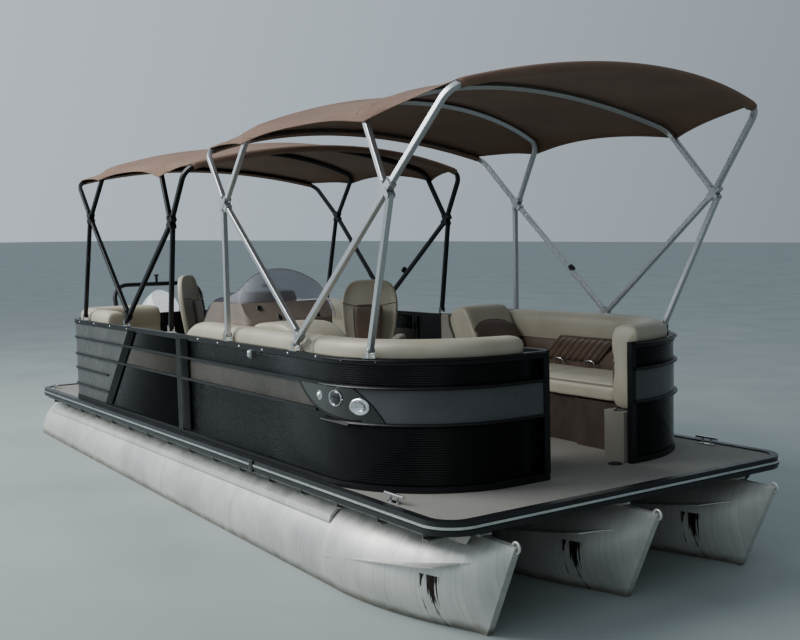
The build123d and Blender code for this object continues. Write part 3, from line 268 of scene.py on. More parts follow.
tar = clouds(tree, where, 20, [(0.3, "120c09"), (0.7, "2e1c14")])
for middle, width, length in ((-305, 44, 235), (-370, 20, 95)):
    metal = mixed(tree, drips(tree, where, middle, width, -322, length), metal, tar)
tree.links.new(metal, shader.inputs["Base Color"])
tree.links.new(between(tree, wobble, 0.3, 0.7, 0.38, 0.55), shader.inputs["Roughness"])
raised(tree, shader, rings, 0.15)

# deck frame and gussets: the same aluminium, drawn much darker than the tubes as painted shade under the deck
shaded_frame_metal, tree, shader, where = start("mill_finish_aluminium", {"Metallic": 0.8, "Roughness": 0.5})
tree.links.new(clouds(tree, where, 90, [(0.3, "6f6f6b"), (0.7, "93938e")]), shader.inputs["Base Color"])
raised(tree, shader, add(tree, "ShaderNodeTexNoise", {"Scale": 400.0}, {"Vector": where}).outputs["Fac"], 0.1)

silver_tube, tree, shader, where = start("satin_anodised_aluminium", {"Metallic": 0.85, "Roughness": 0.34})
drawn = clouds(tree, where, 3, [(0.3, "b4b6b8"), (0.7, "d3d5d6")], (1, 1, 0.03), 2.0)
tree.links.new(drawn, shader.inputs["Base Color"])
raised(tree, shader, drawn, 0.05)

chrome, tree, shader, where = start("polished_stainless_steel", {"Metallic": 1.0})
tree.links.new(clouds(tree, where, 40, [(0.3, "c2c4c5"), (0.7, "dcdddd")]), shader.inputs["Base Color"])
tree.links.new(between(tree, add(tree, "ShaderNodeTexNoise", {"Scale": 120.0}, {"Vector": where}).outputs["Fac"],
                       0.3, 0.7, 0.1, 0.2), shader.inputs["Roughness"])
print("metals", [m.name for m in (tube_metal, shaded_frame_metal, silver_tube, chrome)])

# %% [markdown]
# Painted and coated metal. Powder coat has a fine orange-peel skin, a sprayed
# enamel is smoother and glossier. Dust lies on both in patches: there the paint is a
# little rougher, so its shine changes along a sheet.

# %% Painted metal
def painted(name, dark, pale, patch, roughness, peel, coat=0.0, specular=0.5):
    """A paint of two near tones with an orange-peel skin of peel mm."""
    material, tree, shader, where = start(name, {"Coat Weight": coat, "Specular IOR Level": specular})
    tree.links.new(clouds(tree, where, patch, [(0.3, dark), (0.7, pale)]), shader.inputs["Base Color"])
    dust = add(tree, "ShaderNodeTexNoise", {"Scale": 14.0, "Detail": 6.0}, {"Vector": where}).outputs["Fac"]
    tree.links.new(between(tree, dust, 0.3, 0.7, roughness * 0.85, roughness * 1.25), shader.inputs["Roughness"])
    raised(tree, shader, add(tree, "ShaderNodeTexNoise", {"Scale": 1000 / 2.5}, {"Vector": where}).outputs["Fac"], peel)
    return material


black_coat = painted("black_powder_coat", "0b0c0d", "141517", 160, 0.36, 0.06, 0.0, 0.3)
rail_black = painted("satin_black_enamel", "101113", "1b1d1f", 200, 0.34, 0.04, 0.0, 0.45)
skin_black = painted("gloss_black_enamel_sheet", "050606", "0a0c0d", 300, 0.24, 0.02, 0.0, 0.14)
skin_stripe = painted("grey_brown_enamel_sheet", "37342f", "45413b", 260, 0.36, 0.03, 0.0, 0.25)
skin_grey = painted("grey_enamel_sheet", "393a38", "464745", 280, 0.34, 0.03, 0.0, 0.25)
# almost no reflection: the dark reflection that the gloss stiles show is painted in as plain black
stile_black_painted_reflection = painted("black_polished_trim", "040505", "070808", 200, 0.2, 0.0, 0.0, 0.03)
band_grey = painted("dark_grey_enamel_sheet", "424447", "4e5053", 280, 0.3, 0.03, 0.0, 0.4)
white_paint = painted("white_marine_enamel", "d5d8da", "e6e9ea", 240, 0.22, 0.03, 0.4)
bracket_grey = painted("dark_grey_marine_enamel", "26292c", "34383b", 120, 0.4, 0.06)
lamp_black = painted("gloss_black_plastic", "08090a", "0f1011", 150, 0.12, 0.01, 0.5)

blade_steel, tree, shader, where = start("cast_stainless_steel", {"Metallic": 1.0, "Roughness": 0.3})
tree.links.new(clouds(tree, where, 50, [(0.3, "85868a"), (0.7, "a6a7a9")]), shader.inputs["Base Color"])
print("paints done")

# %% [markdown]
# The deck is a woven vinyl floor: flat grey yarns about 3 mm wide, laid over and
# under. Drawn at 6 mm so that it still shows from the shore.

# %% Deck covering
deck_vinyl, tree, shader, where = start("woven_vinyl_floor", {"Roughness": 0.78})
place = add(tree, "ShaderNodeMapping", {"Scale": (1000 / 6, 1000 / 6, 1000 / 6)}, {"Vector": where})
weave = add(tree, "ShaderNodeTexChecker", {"Scale": 1.0, "Color1": colour("8d8b84"), "Color2": colour("6b6963")},
            {"Vector": place.outputs[0]})
yarns = add(tree, "ShaderNodeTexNoise", {"Scale": 160.0, "Detail": 4.0}, {"Vector": where}).outputs["Fac"]
worn = clouds(tree, where, 500, [(0.3, "7b7972"), (0.7, "928f87")])
tone = add(tree, "ShaderNodeMix", {"data_type": "RGBA", 0: 0.4}, {6: worn, 7: weave.outputs["Color"]}).outputs[2]
speck = clouds(tree, where, 7, [(0.35, "5f5d58"), (0.65, "9c9991")])
tree.links.new(add(tree, "ShaderNodeMix", {"data_type": "RGBA", 0: 0.3}, {6: tone, 7: speck}).outputs[2],
               shader.inputs["Base Color"])
raised(tree, shader, times(tree, weave.outputs["Fac"], yarns), 0.8)
print("deck covering done")

# %% [markdown]
# Marine vinyl is a soft plastic skin on knitted cloth. Its grain is embossed, about
# 1.5 mm from crease to crease, and it has a soft sheen. The cream one is used for
# all cushions, the brown one for the quilted inserts.

# %% Upholstery vinyl
def vinyl(name, dark, pale, grain=1.8, roughness=0.42):
    """Embossed marine vinyl in two near tones."""
    material, tree, shader, where = start(name, {"Sheen Weight": 0.08})
    tree.links.new(clouds(tree, where, 220, [(0.3, dark), (0.7, pale)]), shader.inputs["Base Color"])
    cells = add(tree, "ShaderNodeTexVoronoi", {"feature": "DISTANCE_TO_EDGE", "Scale": 1000 / grain}, {"Vector": where})
    soft = add(tree, "ShaderNodeTexNoise", {"Scale": 6.0, "Detail": 3.0}, {"Vector": where}).outputs["Fac"]
    tree.links.new(between(tree, soft, 0.3, 0.7, roughness * 0.85, roughness * 1.2), shader.inputs["Roughness"])
    raised(tree, shader, between(tree, cells.outputs["Distance"], 0.0, 0.25), 0.12)
    return material


cream_vinyl = vinyl("cream_marine_vinyl", "a39c88", "b4ad99")
brown_vinyl = vinyl("brown_marine_vinyl", "4f3e32", "614d3f")
piping_vinyl = vinyl("dark_vinyl_piping", "4a4238", "5a5146", 1.2)
base_plastic = painted("dark_brown_moulded_plastic", "30261f", "3d3129", 180, 0.5, 0.25)
pod_plastic = painted("beige_moulded_plastic", "7d796e", "8b877c", 180, 0.5, 0.25)
gelcoat = painted("beige_gelcoat", "766a61", "887c73", 320, 0.16, 0.02, 0.6)
grained_black = painted("black_grained_plastic", "121213", "1c1c1d", 140, 0.5, 0.3)
soft_black = painted("soft_black_rubber", "111112", "1a1a1b", 90, 0.6, 0.1)
print("upholstery and plastics done")

# %% [markdown]
# Sun tops are solution-dyed acrylic canvas: a plain weave of yarns about half a
# millimetre thick, drawn here at 2 mm. Pale and dark yarns lie mixed, and the whole
# cloth has faded in wide, soft patches.

# %% Canvas
canvas, tree, shader, where = start("acrylic_canvas", {"Roughness": 0.9, "Sheen Weight": 0.03})
place = add(tree, "ShaderNodeMapping", {"Scale": (1000 / 2, 1000 / 2, 1000 / 2)}, {"Vector": where})
warp, weft = (add(tree, "ShaderNodeTexWave", {"bands_direction": way, "Scale": 0.5, "Distortion": 0.4},
                  {"Vector": place.outputs[0]}) for way in "XY")
cloth = clouds(tree, where, 420, [(0.3, "6a5143"), (0.7, "7d6353")])
flecks = clouds(tree, where, 5, [(0.35, "5e493b"), (0.65, "876b5a")])
tree.links.new(add(tree, "ShaderNodeMix", {"data_type": "RGBA", 0: 0.3}, {6: cloth, 7: flecks}).outputs[2],
               shader.inputs["Base Color"])
raised(tree, shader, times(tree, warp.outputs["Fac"], weft.outputs["Fac"]), 0.25)


def clear_sheet(name, dark, pale, through, patch=200, bends=1.12):
    """Acrylic that lets part of the light through. Returns its material."""
    material, tree, shader, where = start(name, {"Transmission Weight": through, "IOR": bends, "Roughness": 0.05})
    tree.links.new(clouds(tree, where, patch, [(0.3, dark), (0.7, pale)]), shader.inputs["Base Color"])
    return material


screen_acrylic = clear_sheet("lightly_smoked_acrylic_sheet", "c6c6cc", "d0d0d5", 0.8)
screen_strip = clear_sheet("dark_smoked_acrylic_sheet", "4a454f", "5a5560", 0.35)
lens_acrylic = clear_sheet("clear_acrylic_lens", "e4e8ea", "f2f4f5", 0.9, 30, 1.3)
print("cloth and clear plastics done")

# %% [markdown]
# Solids that already have the right shape only get their real finish.

# %% Finishes on the solids
FINISHES = {
    tube_metal: ("pontoon_", "transom"), shaded_frame_metal: ("deck_frame",), deck_vinyl: ("deck_floor",),
    rail_black: ("rub_rail",), chrome: ("rub_rail_strip", "sun_top_hinges", "cleats"),
    black_coat: ("fence_", "bow_gate", "side_gate", "stern_gate", "tow_bar", "rear_bow", "rear_short", "rear_legs"),
    silver_tube: ("front_bow", "front_short", "front_legs", "chair_posts"),
    base_plastic: ("lounge_base_", "stern_bench_base"), pod_plastic: ("cup_pod",), gelcoat: ("console",),
    grained_black: ("console_hood", "throttle"), soft_black: ("steering_wheel",), screen_acrylic: ("windscreen",),
    white_paint: ("outboard_leg", "outboard_cowl"), bracket_grey: ("clamp_bracket", "swivel_bracket"),
    blade_steel: ("propeller",), lamp_black: ("docking_lights",),
}
for name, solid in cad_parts.items():
    fits = [(len(stem), finish) for finish, stems in FINISHES.items() for stem in stems if name.startswith(stem)]
    if fits:
        solid.data.materials.clear()
        solid.data.materials.append(max(fits, key=lambda pair: pair[0])[1])
    else:
        print("no finish for", name)

# %% [markdown]
# Everything inside the fence follows one plan: straight sides, a wide curve at each
# bow corner and a tight one at the stern. A section is drawn once, as a few points
# measured inwards from the fence and up from the deck, and is then extruded along
# the straights and spun round the corners. That is how a real bench is made too.

# %% Walls along the fence
SIDE, BOW, STERN = 1238.0, -440.0, -5900.0
BOW_R, STERN_R = 760.0, 300.0


def fence_point(station, side, inward, z):
    """Place on the fence's plan: station is (wall, distance along it)."""
    wall, place = station
    if wall == "bow":
        return Vector((BOW - inward, side * place, z))
    if wall == "side":
        return Vector((place, side * (SIDE - inward), z))
    return Vector((STERN + inward, side * place, z))


def cut_along(bm, point, normal, **more):
    """Cuts the whole drawing along a plane."""
    geom = bm.verts[:] + bm.edges[:] + bm.faces[:]
    bmesh.ops.bisect_plane(bm, geom=geom, plane_co=point, plane_no=normal, **more)


def only_verts(made):
    """The corners among what an operator made."""
    return [v for v in made if isinstance(v, bmesh.types.BMVert)]


def newest(bm, made):
    """Edges whose two ends are both new."""
    verts = set(only_verts(made))
    return [e for e in made if isinstance(e, bmesh.types.BMEdge) and all(v in verts for v in e.verts)], list(verts)


def run(bm, edges, move, steps=1):
    """Extrudes a row of edges straight on."""
    for _ in range(steps):
        edges, verts = newest(bm, bmesh.ops.extrude_edge_only(bm, edges=edges)["geom"])
        bmesh.ops.translate(bm, verts=verts, vec=Vector(move) / steps)
    return edges


def turn(bm, edges, centre, angle, steps):
    """Spins a row of edges round an upright axis."""
    geom = edges + list({v for e in edges for v in e.verts})
    last = bmesh.ops.spin(bm, geom=geom, cent=centre, axis=(0, 0, 1), dvec=(0, 0, 0), angle=angle, steps=steps,
                          use_duplicate=False)["geom_last"]
    return [e for e in last if isinstance(e, bmesh.types.BMEdge)]


def follow_fence(bm, section, side, begin, end, closed=True, corner_steps=14, run_steps=1):
    """Sweeps a section (inward, z) from one station to another, aft. Returns its first and last row of edges."""
    verts = [bm.verts.new(fence_point(begin, side, d, z)) for d, z in section]
    first = [bm.edges.new(pair) for pair in zip(verts, verts[1:])]
    if closed:
        first.append(bm.edges.new((verts[-1], verts[0])))
    edges, (wall, place) = first, begin
    while wall != end[0]:
        if wall == "bow":
            edges = run(bm, edges, (0, side * (SIDE - BOW_R - place), 0))
            edges = turn(bm, edges, (BOW - BOW_R, side * (SIDE - BOW_R), 0), side * pi / 2, corner_steps)
            wall, place = "side", BOW - BOW_R
        else:
            edges = run(bm, edges, (STERN + STERN_R - place, 0, 0), run_steps)
            edges = turn(bm, edges, (STERN + STERN_R, side * (SIDE - STERN_R), 0), side * pi / 2,
                         max(corner_steps // 2, 4))
            wall, place = "stern", SIDE - STERN_R
    length = end[1] - place
    if wall == "side":
        return first, run(bm, edges, (length, 0, 0), run_steps)
    return first, run(bm, edges, (0, side * length, 0))


def place_piece(name, bm, finishes, body, sharp=40, merge=0.02):
    """Makes a finished piece of a drawing in mm: closed doubles, faces outwards, in metres in the boat's frame."""
    bmesh.ops.remove_doubles(bm, verts=bm.verts, dist=merge)
    bmesh.ops.recalc_face_normals(bm, faces=bm.faces)
    mesh = drawn_mesh(name, bm, MM_TO_FRAME)
    mesh.shade_smooth()
    mesh.set_sharp_from_angle(angle=radians(sharp))
    for finish in finishes if isinstance(finishes, (list, tuple)) else [finishes]:
        mesh.materials.append(finish)
    piece = in_scene(name, mesh)
    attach(piece, body)
    return piece


def rounded_box(name, place, size, soft, finish, segments=2):
    """A block with rounded edges, put in place by a matrix."""
    bm = bmesh.new()
    bmesh.ops.create_cube(bm, size=1.0, matrix=place @ Matrix.Diagonal((*size, 1)))
    soften(bm, bm.edges[:], soft, segments)
    return place_piece(name, bm, finish, "hull", 40)


def soften(bm, edges, width, segments=2):
    """Rounds edges."""
    bmesh.ops.bevel(bm, geom=edges, offset=width, affect="EDGES", segments=segments, profile=0.5, material=-1)


def lathe(bm, rings, turns):
    """Turns rings of (radius, height) about the upright axis."""
    verts = [bm.verts.new((radius, 0, height)) for radius, height in rings]
    edges = [bm.edges.new(pair) for pair in zip(verts, verts[1:])]
    bmesh.ops.spin(bm, geom=verts + edges, cent=(0, 0, 0), axis=(0, 0, 1), dvec=(0, 0, 0), angle=2 * pi, steps=turns,
                   use_merge=True, use_duplicate=False)


def subdivide(piece, levels=2):
    """Rounds a coarse shape."""
    soft = piece.modifiers.new("rounded", "SUBSURF")
    soft.levels = soft.render_levels = levels
    return piece


print("plan of the fence: half width", SIDE, "bow corner", BOW_R, "stern corner", STERN_R)

# %% [markdown]
# The fence's sheets are ribbed lengthwise: half an inch from rib to rib, rolled into
# 0.8 mm aluminium. The ribs catch the sky as fine lines, so they are real folds here
# and not a bump. Slanting cuts part the black side from the stripe and the grey stern.

# %% Ribbed fence sheets
RIB, RIB_DEEP, SHEET_IN = 12.7, 1.8, 7.2
SHEET_LOW, SHEET_HIGH = 37.0, 679.0
HIGH_BEAD, LOW_BEAD, FRONT_BEAD = 558.0, 409.0, 362.0
STRIPE_FRONT = -1330
# the slanting stile's aft and fore edge: (x, z) of the foot and of the head
STILE_EDGES = (((-4876, 45), (-4263, 690)), ((-4724, 45), (-4105, 690)))


def ribbed(low, high):
    """Points of a ribbed section: (inward, z)."""
    count = int((high - low) / RIB)
    return [(SHEET_IN + (RIB_DEEP if k % 2 else 0.0), low + (high - low) * k / (2 * count))
            for k in range(2 * count + 1)]


PANELS = {"starboard": (-1, [(("bow", 276), ("side", -3210)), (("side", -3290), ("stern", 366))]),
          "port": (1, [(("bow", 436), ("side", -3080)), (("side", -3842), ("stern", 366))])}
for side_name, (side, runs) in PANELS.items():
    bm = bmesh.new()
    for begin, end in runs:
        follow_fence(bm, ribbed(SHEET_LOW, SHEET_HIGH), side, begin, end, closed=False, corner_steps=28)
    for foot, head in STILE_EDGES:
        cut_along(bm, (foot[0], 0, foot[1]), Vector((head[1] - foot[1], 0, foot[0] - head[0])))
    for z in (HIGH_BEAD, LOW_BEAD):
        cut_along(bm, (0, 0, z), (0, 0, 1))
    for face in bm.faces:
        middle = face.calc_center_median()
        aft_edge, fore_edge = (foot[0] + (middle.z - foot[1]) * ((head[0] - foot[0]) / (head[1] - foot[1]))
                               for foot, head in STILE_EDGES)
        if middle.x < aft_edge:
            face.material_index = 2
        elif fore_edge < middle.x < STRIPE_FRONT and LOW_BEAD < middle.z < HIGH_BEAD:
            face.material_index = 1
    sheets = place_piece("ribbed_sheets_" + side_name, bm, [skin_black, skin_stripe, skin_grey], "hull", 20)
    wall = sheets.modifiers.new("sheet", "SOLIDIFY")
    wall.thickness, wall.offset = 0.0008, -1
    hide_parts("skin_" + side_name)
    print(sheets.name, len(sheets.data.polygons), "faces")

# %% [markdown]
# Round the bow the band between the beads is smooth grey sheet. It starts under the
# lamp unit. Its section is swept round the corner along the fence and cut on a slant
# at its aft end. A flat plate's outline is drawn flat, sliced into narrow upright
# strips and bent round the corner, as the sheet-metal worker does.

# %% Smooth bow bands
def fence_half(x, inward=0.0):
    """Half width of the fence's plan at x."""
    reach = max(x - BOW + BOW_R, 0.0)
    radius = BOW_R - inward
    return SIDE - BOW_R + sqrt(max(radius * radius - reach * reach, 0.0))


def bent_plate(bm, outline, side, proud, thick, strip=18.0):
    """Flat outline (x, z) bent onto the fence, standing proud of it."""
    face = bm.faces.new([bm.verts.new((x, 0, z)) for x, z in outline])
    lowest = min(x for x, _ in outline)
    highest = max(x for x, _ in outline)
    cut = lowest + strip
    while cut < highest:
        cut_along(bm, (cut, 0, 0), (1, 0, 0))
        cut += strip
    moved = set(only_verts(bmesh.ops.extrude_face_region(bm, geom=bm.faces[:])["geom"]))
    for vert in bm.verts:
        inward = -proud + (thick if vert in moved else 0.0)
        vert.co.y = side * fence_half(vert.co.x, inward)


for side_name, side, gate_edge in (("starboard", -1, 276.0), ("port", 1, 436.0)):
    bm = bmesh.new()
    section = [(5.6, FRONT_BEAD + 6), (5.6, HIGH_BEAD - 6), (8.8, HIGH_BEAD - 6), (8.8, FRONT_BEAD + 6)]
    first, last = follow_fence(bm, section, side, ("bow", gate_edge), ("side", -1205), corner_steps=28)
    cut_along(bm, (-960, 0, 543), (-1, 0, -0.45), clear_outer=True)
    band = place_piece("smooth_bow_band_" + side_name, bm, band_grey, "hull", 30)
    print(band.name, "ends at x", round(min(v.co.x for v in band.data.vertices) - DECK_EDGE.x, 3))

# %% [markdown]
# Round the bow the beads are fat half-round extrusions that stand out from the sheets,
# with a thin lip under the top rail. They are swept along the same plan.

# %% Bow beads
for side_name, side, gate_edge in (("starboard", -1, 262.0), ("port", 1, 422.0)):
    bm = bmesh.new()
    for z, end, deep in ((HIGH_BEAD, -1205, 9.5), (FRONT_BEAD, -905, 9.5), (706.0, -1205, 6.0)):
        section = [(0.5, z + deep), (-7, z + deep * 0.94), (-14, z + deep * 0.6), (-17, z), (-14, z - deep * 0.6),
                   (-7, z - deep * 0.94), (0.5, z - deep)]
        first, last = follow_fence(bm, section, side, ("bow", gate_edge), ("side", end), corner_steps=28)
        for ring in (first, last):
            bmesh.ops.edgeloop_fill(bm, edges=ring)
    place_piece("bow_beads_" + side_name, bm, black_coat, "hull", 40)
print("bow beads done")

# %% [markdown]
# The lamp unit: a gloss black plate that fills the sweep of the low bead, with a
# chrome ball, a black round lens and an oval chrome lamp set in it.

# %% Lamp units
SWEEP = [(-1448, 551), (-1400, 509), (-1344, 469), (-1289, 441), (-1222, 420), (-1120, 399), (-1037, 386), (-965, 376),
         (-901, 371)]
BEZEL_END = [(-768, 372), (-792, 412), (-831, 464), (-885, 514), (-939, 549)]


def round_lamp(bm, x, z, side, radius, stretch, rings):
    """Lamp on the fence: rings are (share of the radius, mm proud), turned about its own axis."""
    spot = Vector((x, side * fence_half(x), z))
    ahead = Vector((x + 1, side * fence_half(x + 1), z)) - Vector((x - 1, side * fence_half(x - 1), z))
    ahead.normalize()
    out = ahead.cross(Vector((0, 0, 1))) if side < 0 else Vector((0, 0, 1)).cross(ahead)
    before = set(bm.verts)
    lathe(bm, [(share * radius, proud) for share, proud in rings], 32)
    made = [v for v in bm.verts if v not in before]
    bmesh.ops.scale(bm, verts=made, vec=(stretch, 1, 1))
    turned = Matrix((ahead, Vector((0, 0, 1)), out)).transposed().to_4x4()
    bmesh.ops.transform(bm, matrix=Matrix.Translation(spot) @ turned, verts=made)


for side_name, side in (("starboard", -1), ("port", 1)):
    bm = bmesh.new()
    bent_plate(bm, SWEEP + BEZEL_END, side, 2.4, 9.0)
    plate = place_piece("lamp_plate_" + side_name, bm, lamp_black, "hull", 30)
    for name, finish, like, lamps in (
            ("lamp_chrome_", chrome, "cleat_chrome", (
                (-1218, 492, 21, 1.0, [(0.02, 20), (0.4, 18), (0.75, 12), (0.95, 6), (1.25, 4.5), (1.3, 2)]),
                (-899, 454, 40, 1.45, [(0.02, 4), (0.5, 5), (0.85, 9), (1.0, 11), (1.12, 8), (1.14, 2)]),
                (-1064, 490, 44, 1.15, [(0.86, 4), (0.92, 9), (1.0, 10), (1.06, 7), (1.08, 2)]))),
            ("lamp_lens_", lamp_black, "lamp_black", (
                (-1064, 490, 38, 1.15, [(0.02, 14), (0.4, 13), (0.75, 10), (1.0, 5), (1.02, 2)]),)),
            ("lamp_cover_", lens_acrylic, "lamp_black", (
                (-899, 454, 33, 1.5, [(0.02, 15), (0.5, 13.5), (0.85, 9.5), (1.0, 6.5)]),))):
        bm = bmesh.new()
        for x, z, radius, stretch, rings in lamps:
            round_lamp(bm, x, z, side, radius, stretch, rings)
        place_piece(name + side_name, bm, finish, "hull", 40)
    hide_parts("docking_lights")
print("lamp units done")

# %% [markdown]
# A sun top's cloth is cut in panels, sewn into one sheet with a pocket for each bow,
# and pulled tight when the legs are set. It is highest over the bows, sags a little
# between them, and its side hems are drawn in, in shallow curves. A point of the
# cloth is therefore found from two numbers: how far aft from bow to bow it is, and
# what share of the half width it is from the middle. A plain grid is bent to that.

# %% Lines of the sun tops' bows
LEGS_HALF, CORNER_BEND = 1220.5, 130.0


def bow_line(low, corner, half, crown, reach):
    """One bow's top: a function from a share of the cloth's half width to a point and an upward direction."""
    rise = hypot(corner[0] - low[0], corner[1] - low[1])
    slope = ((corner[0] - low[0]) / rise, (corner[1] - low[1]) / rise)
    height = crown / slope[1]
    radius = (half * half + height * height) / (2 * height)
    middle = rise + height - radius
    down = Vector((LEGS_HALF - half, -rise)).normalized()
    inward = Vector((down.y, -down.x))
    # the bend touches the arc and the leg, so its centre is a bend's radius inside both
    start_at = Vector((half, rise)) + inward * CORNER_BEND - Vector((0.0, middle))
    along = start_at.dot(down)
    root = sqrt(along * along - start_at.length_squared + (radius - CORNER_BEND) ** 2)
    travel = -along - root if -along - root > 0 else -along + root
    centre = start_at + down * travel + Vector((0.0, middle))
    first = atan2(centre.x, centre.y - middle)
    last = atan2(-inward.x, -inward.y)
    arc_end, bend_end = radius * first, radius * first + CORNER_BEND * (last - first)
    half_cloth = arc_end + reach * (bend_end - arc_end) if reach <= 1 else bend_end + (reach - 1) * 100

    def place(share):
        along_bow = abs(share) * half_cloth
        if along_bow <= arc_end:
            angle = along_bow / radius
            y, w = radius * sin(angle), middle + radius * cos(angle)
        else:
            angle = min(first + (along_bow - arc_end) / CORNER_BEND, last)
            beyond = max(along_bow - bend_end, 0.0)
            y = centre.x + CORNER_BEND * sin(angle) + down.x * beyond
            w = centre.y + CORNER_BEND * cos(angle) + down.y * beyond
        side = 1 if share >= 0 else -1
        up = Vector((0, side * sin(angle), cos(angle)))
        return Vector((low[0] + slope[0] * w, side * y, low[1] + slope[1] * w)), up
    place.half = half_cloth
    return place


# the bows' leg ends, corners, half widths and crowns, and how far round its bend the cloth goes
SUN_TOPS = {
    "front": [bow_line((-515, 1590), (-116, 2051), 1117, 140, 0.25),
              bow_line((-497, 1627), (-830, 2004), 1150, 225, 1.15),
              bow_line((-2412, 1640), (-2117, 2027), 1180, 230, 1.15),
              bow_line((-2401, 1600), (-2760, 1964), 1174, 190, 0.25)],
    "rear": [bow_line((-3322, 1512), (-3090, 1881), 1200, 160, 0.25),
             bow_line((-3340, 1546), (-3576, 1924), 1190, 200, 1.15),
             bow_line((-5130, 1640), (-4781, 1966), 1200, 190, 1.15),
             bow_line((-5112, 1600), (-5487, 1919), 1195, 150, 0.25)],
}
LIFT = 24.0
SAG = (10.0, 26.0, 10.0)
DRAWN_IN = (20.0, 75.0, 20.0)


def cloth_point(bows, along, share):
    """Place on a sun top's cloth. Below 0 and above 3 it wraps round the end bows' tubes and comes back under."""
    end = 0 if along < 0 else 3
    if along < 0 or along > 3:
        point, up = bows[end](share)
        ahead = Vector((1, 0, 0)) if end == 0 else Vector((-1, 0, 0))
        gone = -along if end == 0 else along - 3
        turned = min(gone, 1.0) * pi
        round_tube = up * cos(turned) * LIFT + ahead * sin(turned) * LIFT
        return point + round_tube - ahead * max(gone - 1, 0) * 55 + up * max(gone - 1, 0) * (LIFT - 4)
    bay = min(int(along), 2)
    part = along - bay
    bulge = 4 * part * (1 - part)
    drawn = share * (1 - bulge * DRAWN_IN[bay] / bows[bay].half)
    (a, up_a), (b, up_b) = bows[bay](drawn), bows[bay + 1](drawn)
    up = up_a.lerp(up_b, part).normalized()
    point = a.lerp(b, part) + up * LIFT
    # pulled folds run out of the short bows' corners and the four end corners
    folds = 0.0
    for knot in range(4):
        corner, _ = bows[knot](1.0 if share > 0 else -1.0)
        away = point - corner
        distance = away.length
        fade = min(distance / 90, 1) * 2.718 ** (-distance / 260)
        folds += sin(9 * atan2(away.z + 0.6 * abs(away.y), away.x)) * 5.0 * fade
    loose = 3.0 * sin(along * 5.1 + share * 3.3) * sin(share * 7.7 - along * 2.3)
    return point - up * bulge * (SAG[bay] * (1 - 0.3 * share * share) - folds) + up * bulge * loose


def cloth_piece(name, label, rows, columns, thick, finish, offset=-1.0):
    """A grid of cloth over rows (how far aft) and columns (share of the half width), with its thickness."""
    bows = SUN_TOPS[label]
    bm = bmesh.new()
    bmesh.ops.create_grid(bm, x_segments=len(rows) - 1, y_segments=len(columns) - 1, size=1.0)
    for vert in bm.verts:
        row = round((vert.co.x + 1) / 2 * (len(rows) - 1))
        column = round((vert.co.y + 1) / 2 * (len(columns) - 1))
        vert.co = cloth_point(bows, rows[row], columns[column])
    mesh = drawn_mesh(name, bm, MM_TO_FRAME)
    if mesh.polygons[len(mesh.polygons) // 2].normal.z < 0:
        mesh.flip_normals()
    mesh.shade_smooth()
    mesh.materials.append(finish)
    piece = in_scene(name, mesh)
    wall = piece.modifiers.new("cloth", "SOLIDIFY")
    wall.thickness, wall.offset = thick / 1000, offset
    wall.use_quality_normals = True
    return piece


def steps(first, last, count):
    """Even steps from first to last, both included."""
    return [first + (last - first) * k / count for k in range(count + 1)]


def line_length(points):
    """Length of a line through points."""
    return sum((b - a).length for a, b in zip(points, points[1:]))


print("front cloth is", round(2 * SUN_TOPS["front"][1].half), "mm wide over its short bow")

# %% [markdown]
# Each top is the cloth and its hems with the cross seams. On the boat the fore bow
# carries one end and the aft bow the other.
# The cloth's flat size is measured along its own lines.

# %% Sun tops
def sun_top(label):
    """Makes one sun top's cloth, hems and seams."""
    bows = SUN_TOPS[label]
    wrap_fore = [-1.9, -1.45, -1.0, -0.84, -0.67, -0.5, -0.33, -0.16]
    wrap_aft = [3 - value for value in reversed(wrap_fore)]
    rows = wrap_fore + [0.0, 0.04] + steps(0.14, 0.86, 5) + [0.96, 1.0, 1.02] + steps(1.1, 1.9, 12) \
        + [1.98, 2.0, 2.04] + steps(2.14, 2.86, 5) + [2.96, 3.0] + wrap_aft
    columns = steps(-1.0, 1.0, 72)
    cloth = cloth_piece(label + "_sun_top_cloth", label, rows, columns, 1.2, canvas)
    width = max(line_length([cloth_point(bows, along, share) for share in columns]) for along in (0.0, 1.0, 2.0, 3.0))
    length = max(line_length([cloth_point(bows, along, share) for along in rows]) for share in (0.0, 0.5, 1.0))
    hems = [cloth_piece(label + "_sun_top_hem_" + side_name, label, steps(0.0, 3.0, 60),
                        [sign * 0.981, sign * 0.991, sign * 1.0], 3.4, canvas, 0.0)
            for side_name, sign in (("starboard", -1), ("port", 1))]
    seams = [cloth_piece(f"{label}_sun_top_seam_{count}", label, [along - 0.008, along + 0.008],
                         steps(-0.985, 0.985, 60), 3.0, canvas, 0.0)
             for count, along in enumerate((0.115, 0.93, 1.045, 1.95, 2.07, 2.885))]
    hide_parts(label + "_canopy")
    fore_top, aft_top = (bows[k](0.0)[0] for k in (0, 3))
    for piece in [cloth] + hems + seams:
        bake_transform(piece)


for label in SUN_TOPS:
    sun_top(label)

# %% [markdown]
# The benches are foam on plastic bases. A back is one long bolster: a fat roll on top
# and a flat pad under it, both bent along the fence. Each is drawn as a coarse closed
# section, swept along the fence and rounded by a subdivision surface, with extra
# rings at its ends so that they close in a soft curve.

# %% Long cushions
def close_end(bm, ring, along, rounding, depth):
    """Draws the open end of a sweep together in a soft curve."""
    edges = ring
    for share, out in ((1 - 0.3 * rounding, 0.55), (0.55, 0.35)):
        edges, verts = newest(bm, bmesh.ops.extrude_edge_only(bm, edges=edges)["geom"])
        middle = sum((v.co for v in verts), Vector()) / len(verts)
        for vert in verts:
            vert.co = middle + (vert.co - middle) * share + along * depth * out
    bmesh.ops.edgeloop_fill(bm, edges=edges)


def along_wall(station, side, aft):
    """Direction of the fence at a station, towards the stern or back."""
    wall = station[0]
    ahead = {"bow": Vector((0, side, 0)), "side": Vector((-1, 0, 0)), "stern": Vector((0, -side, 0))}[wall]
    return ahead if aft else -ahead


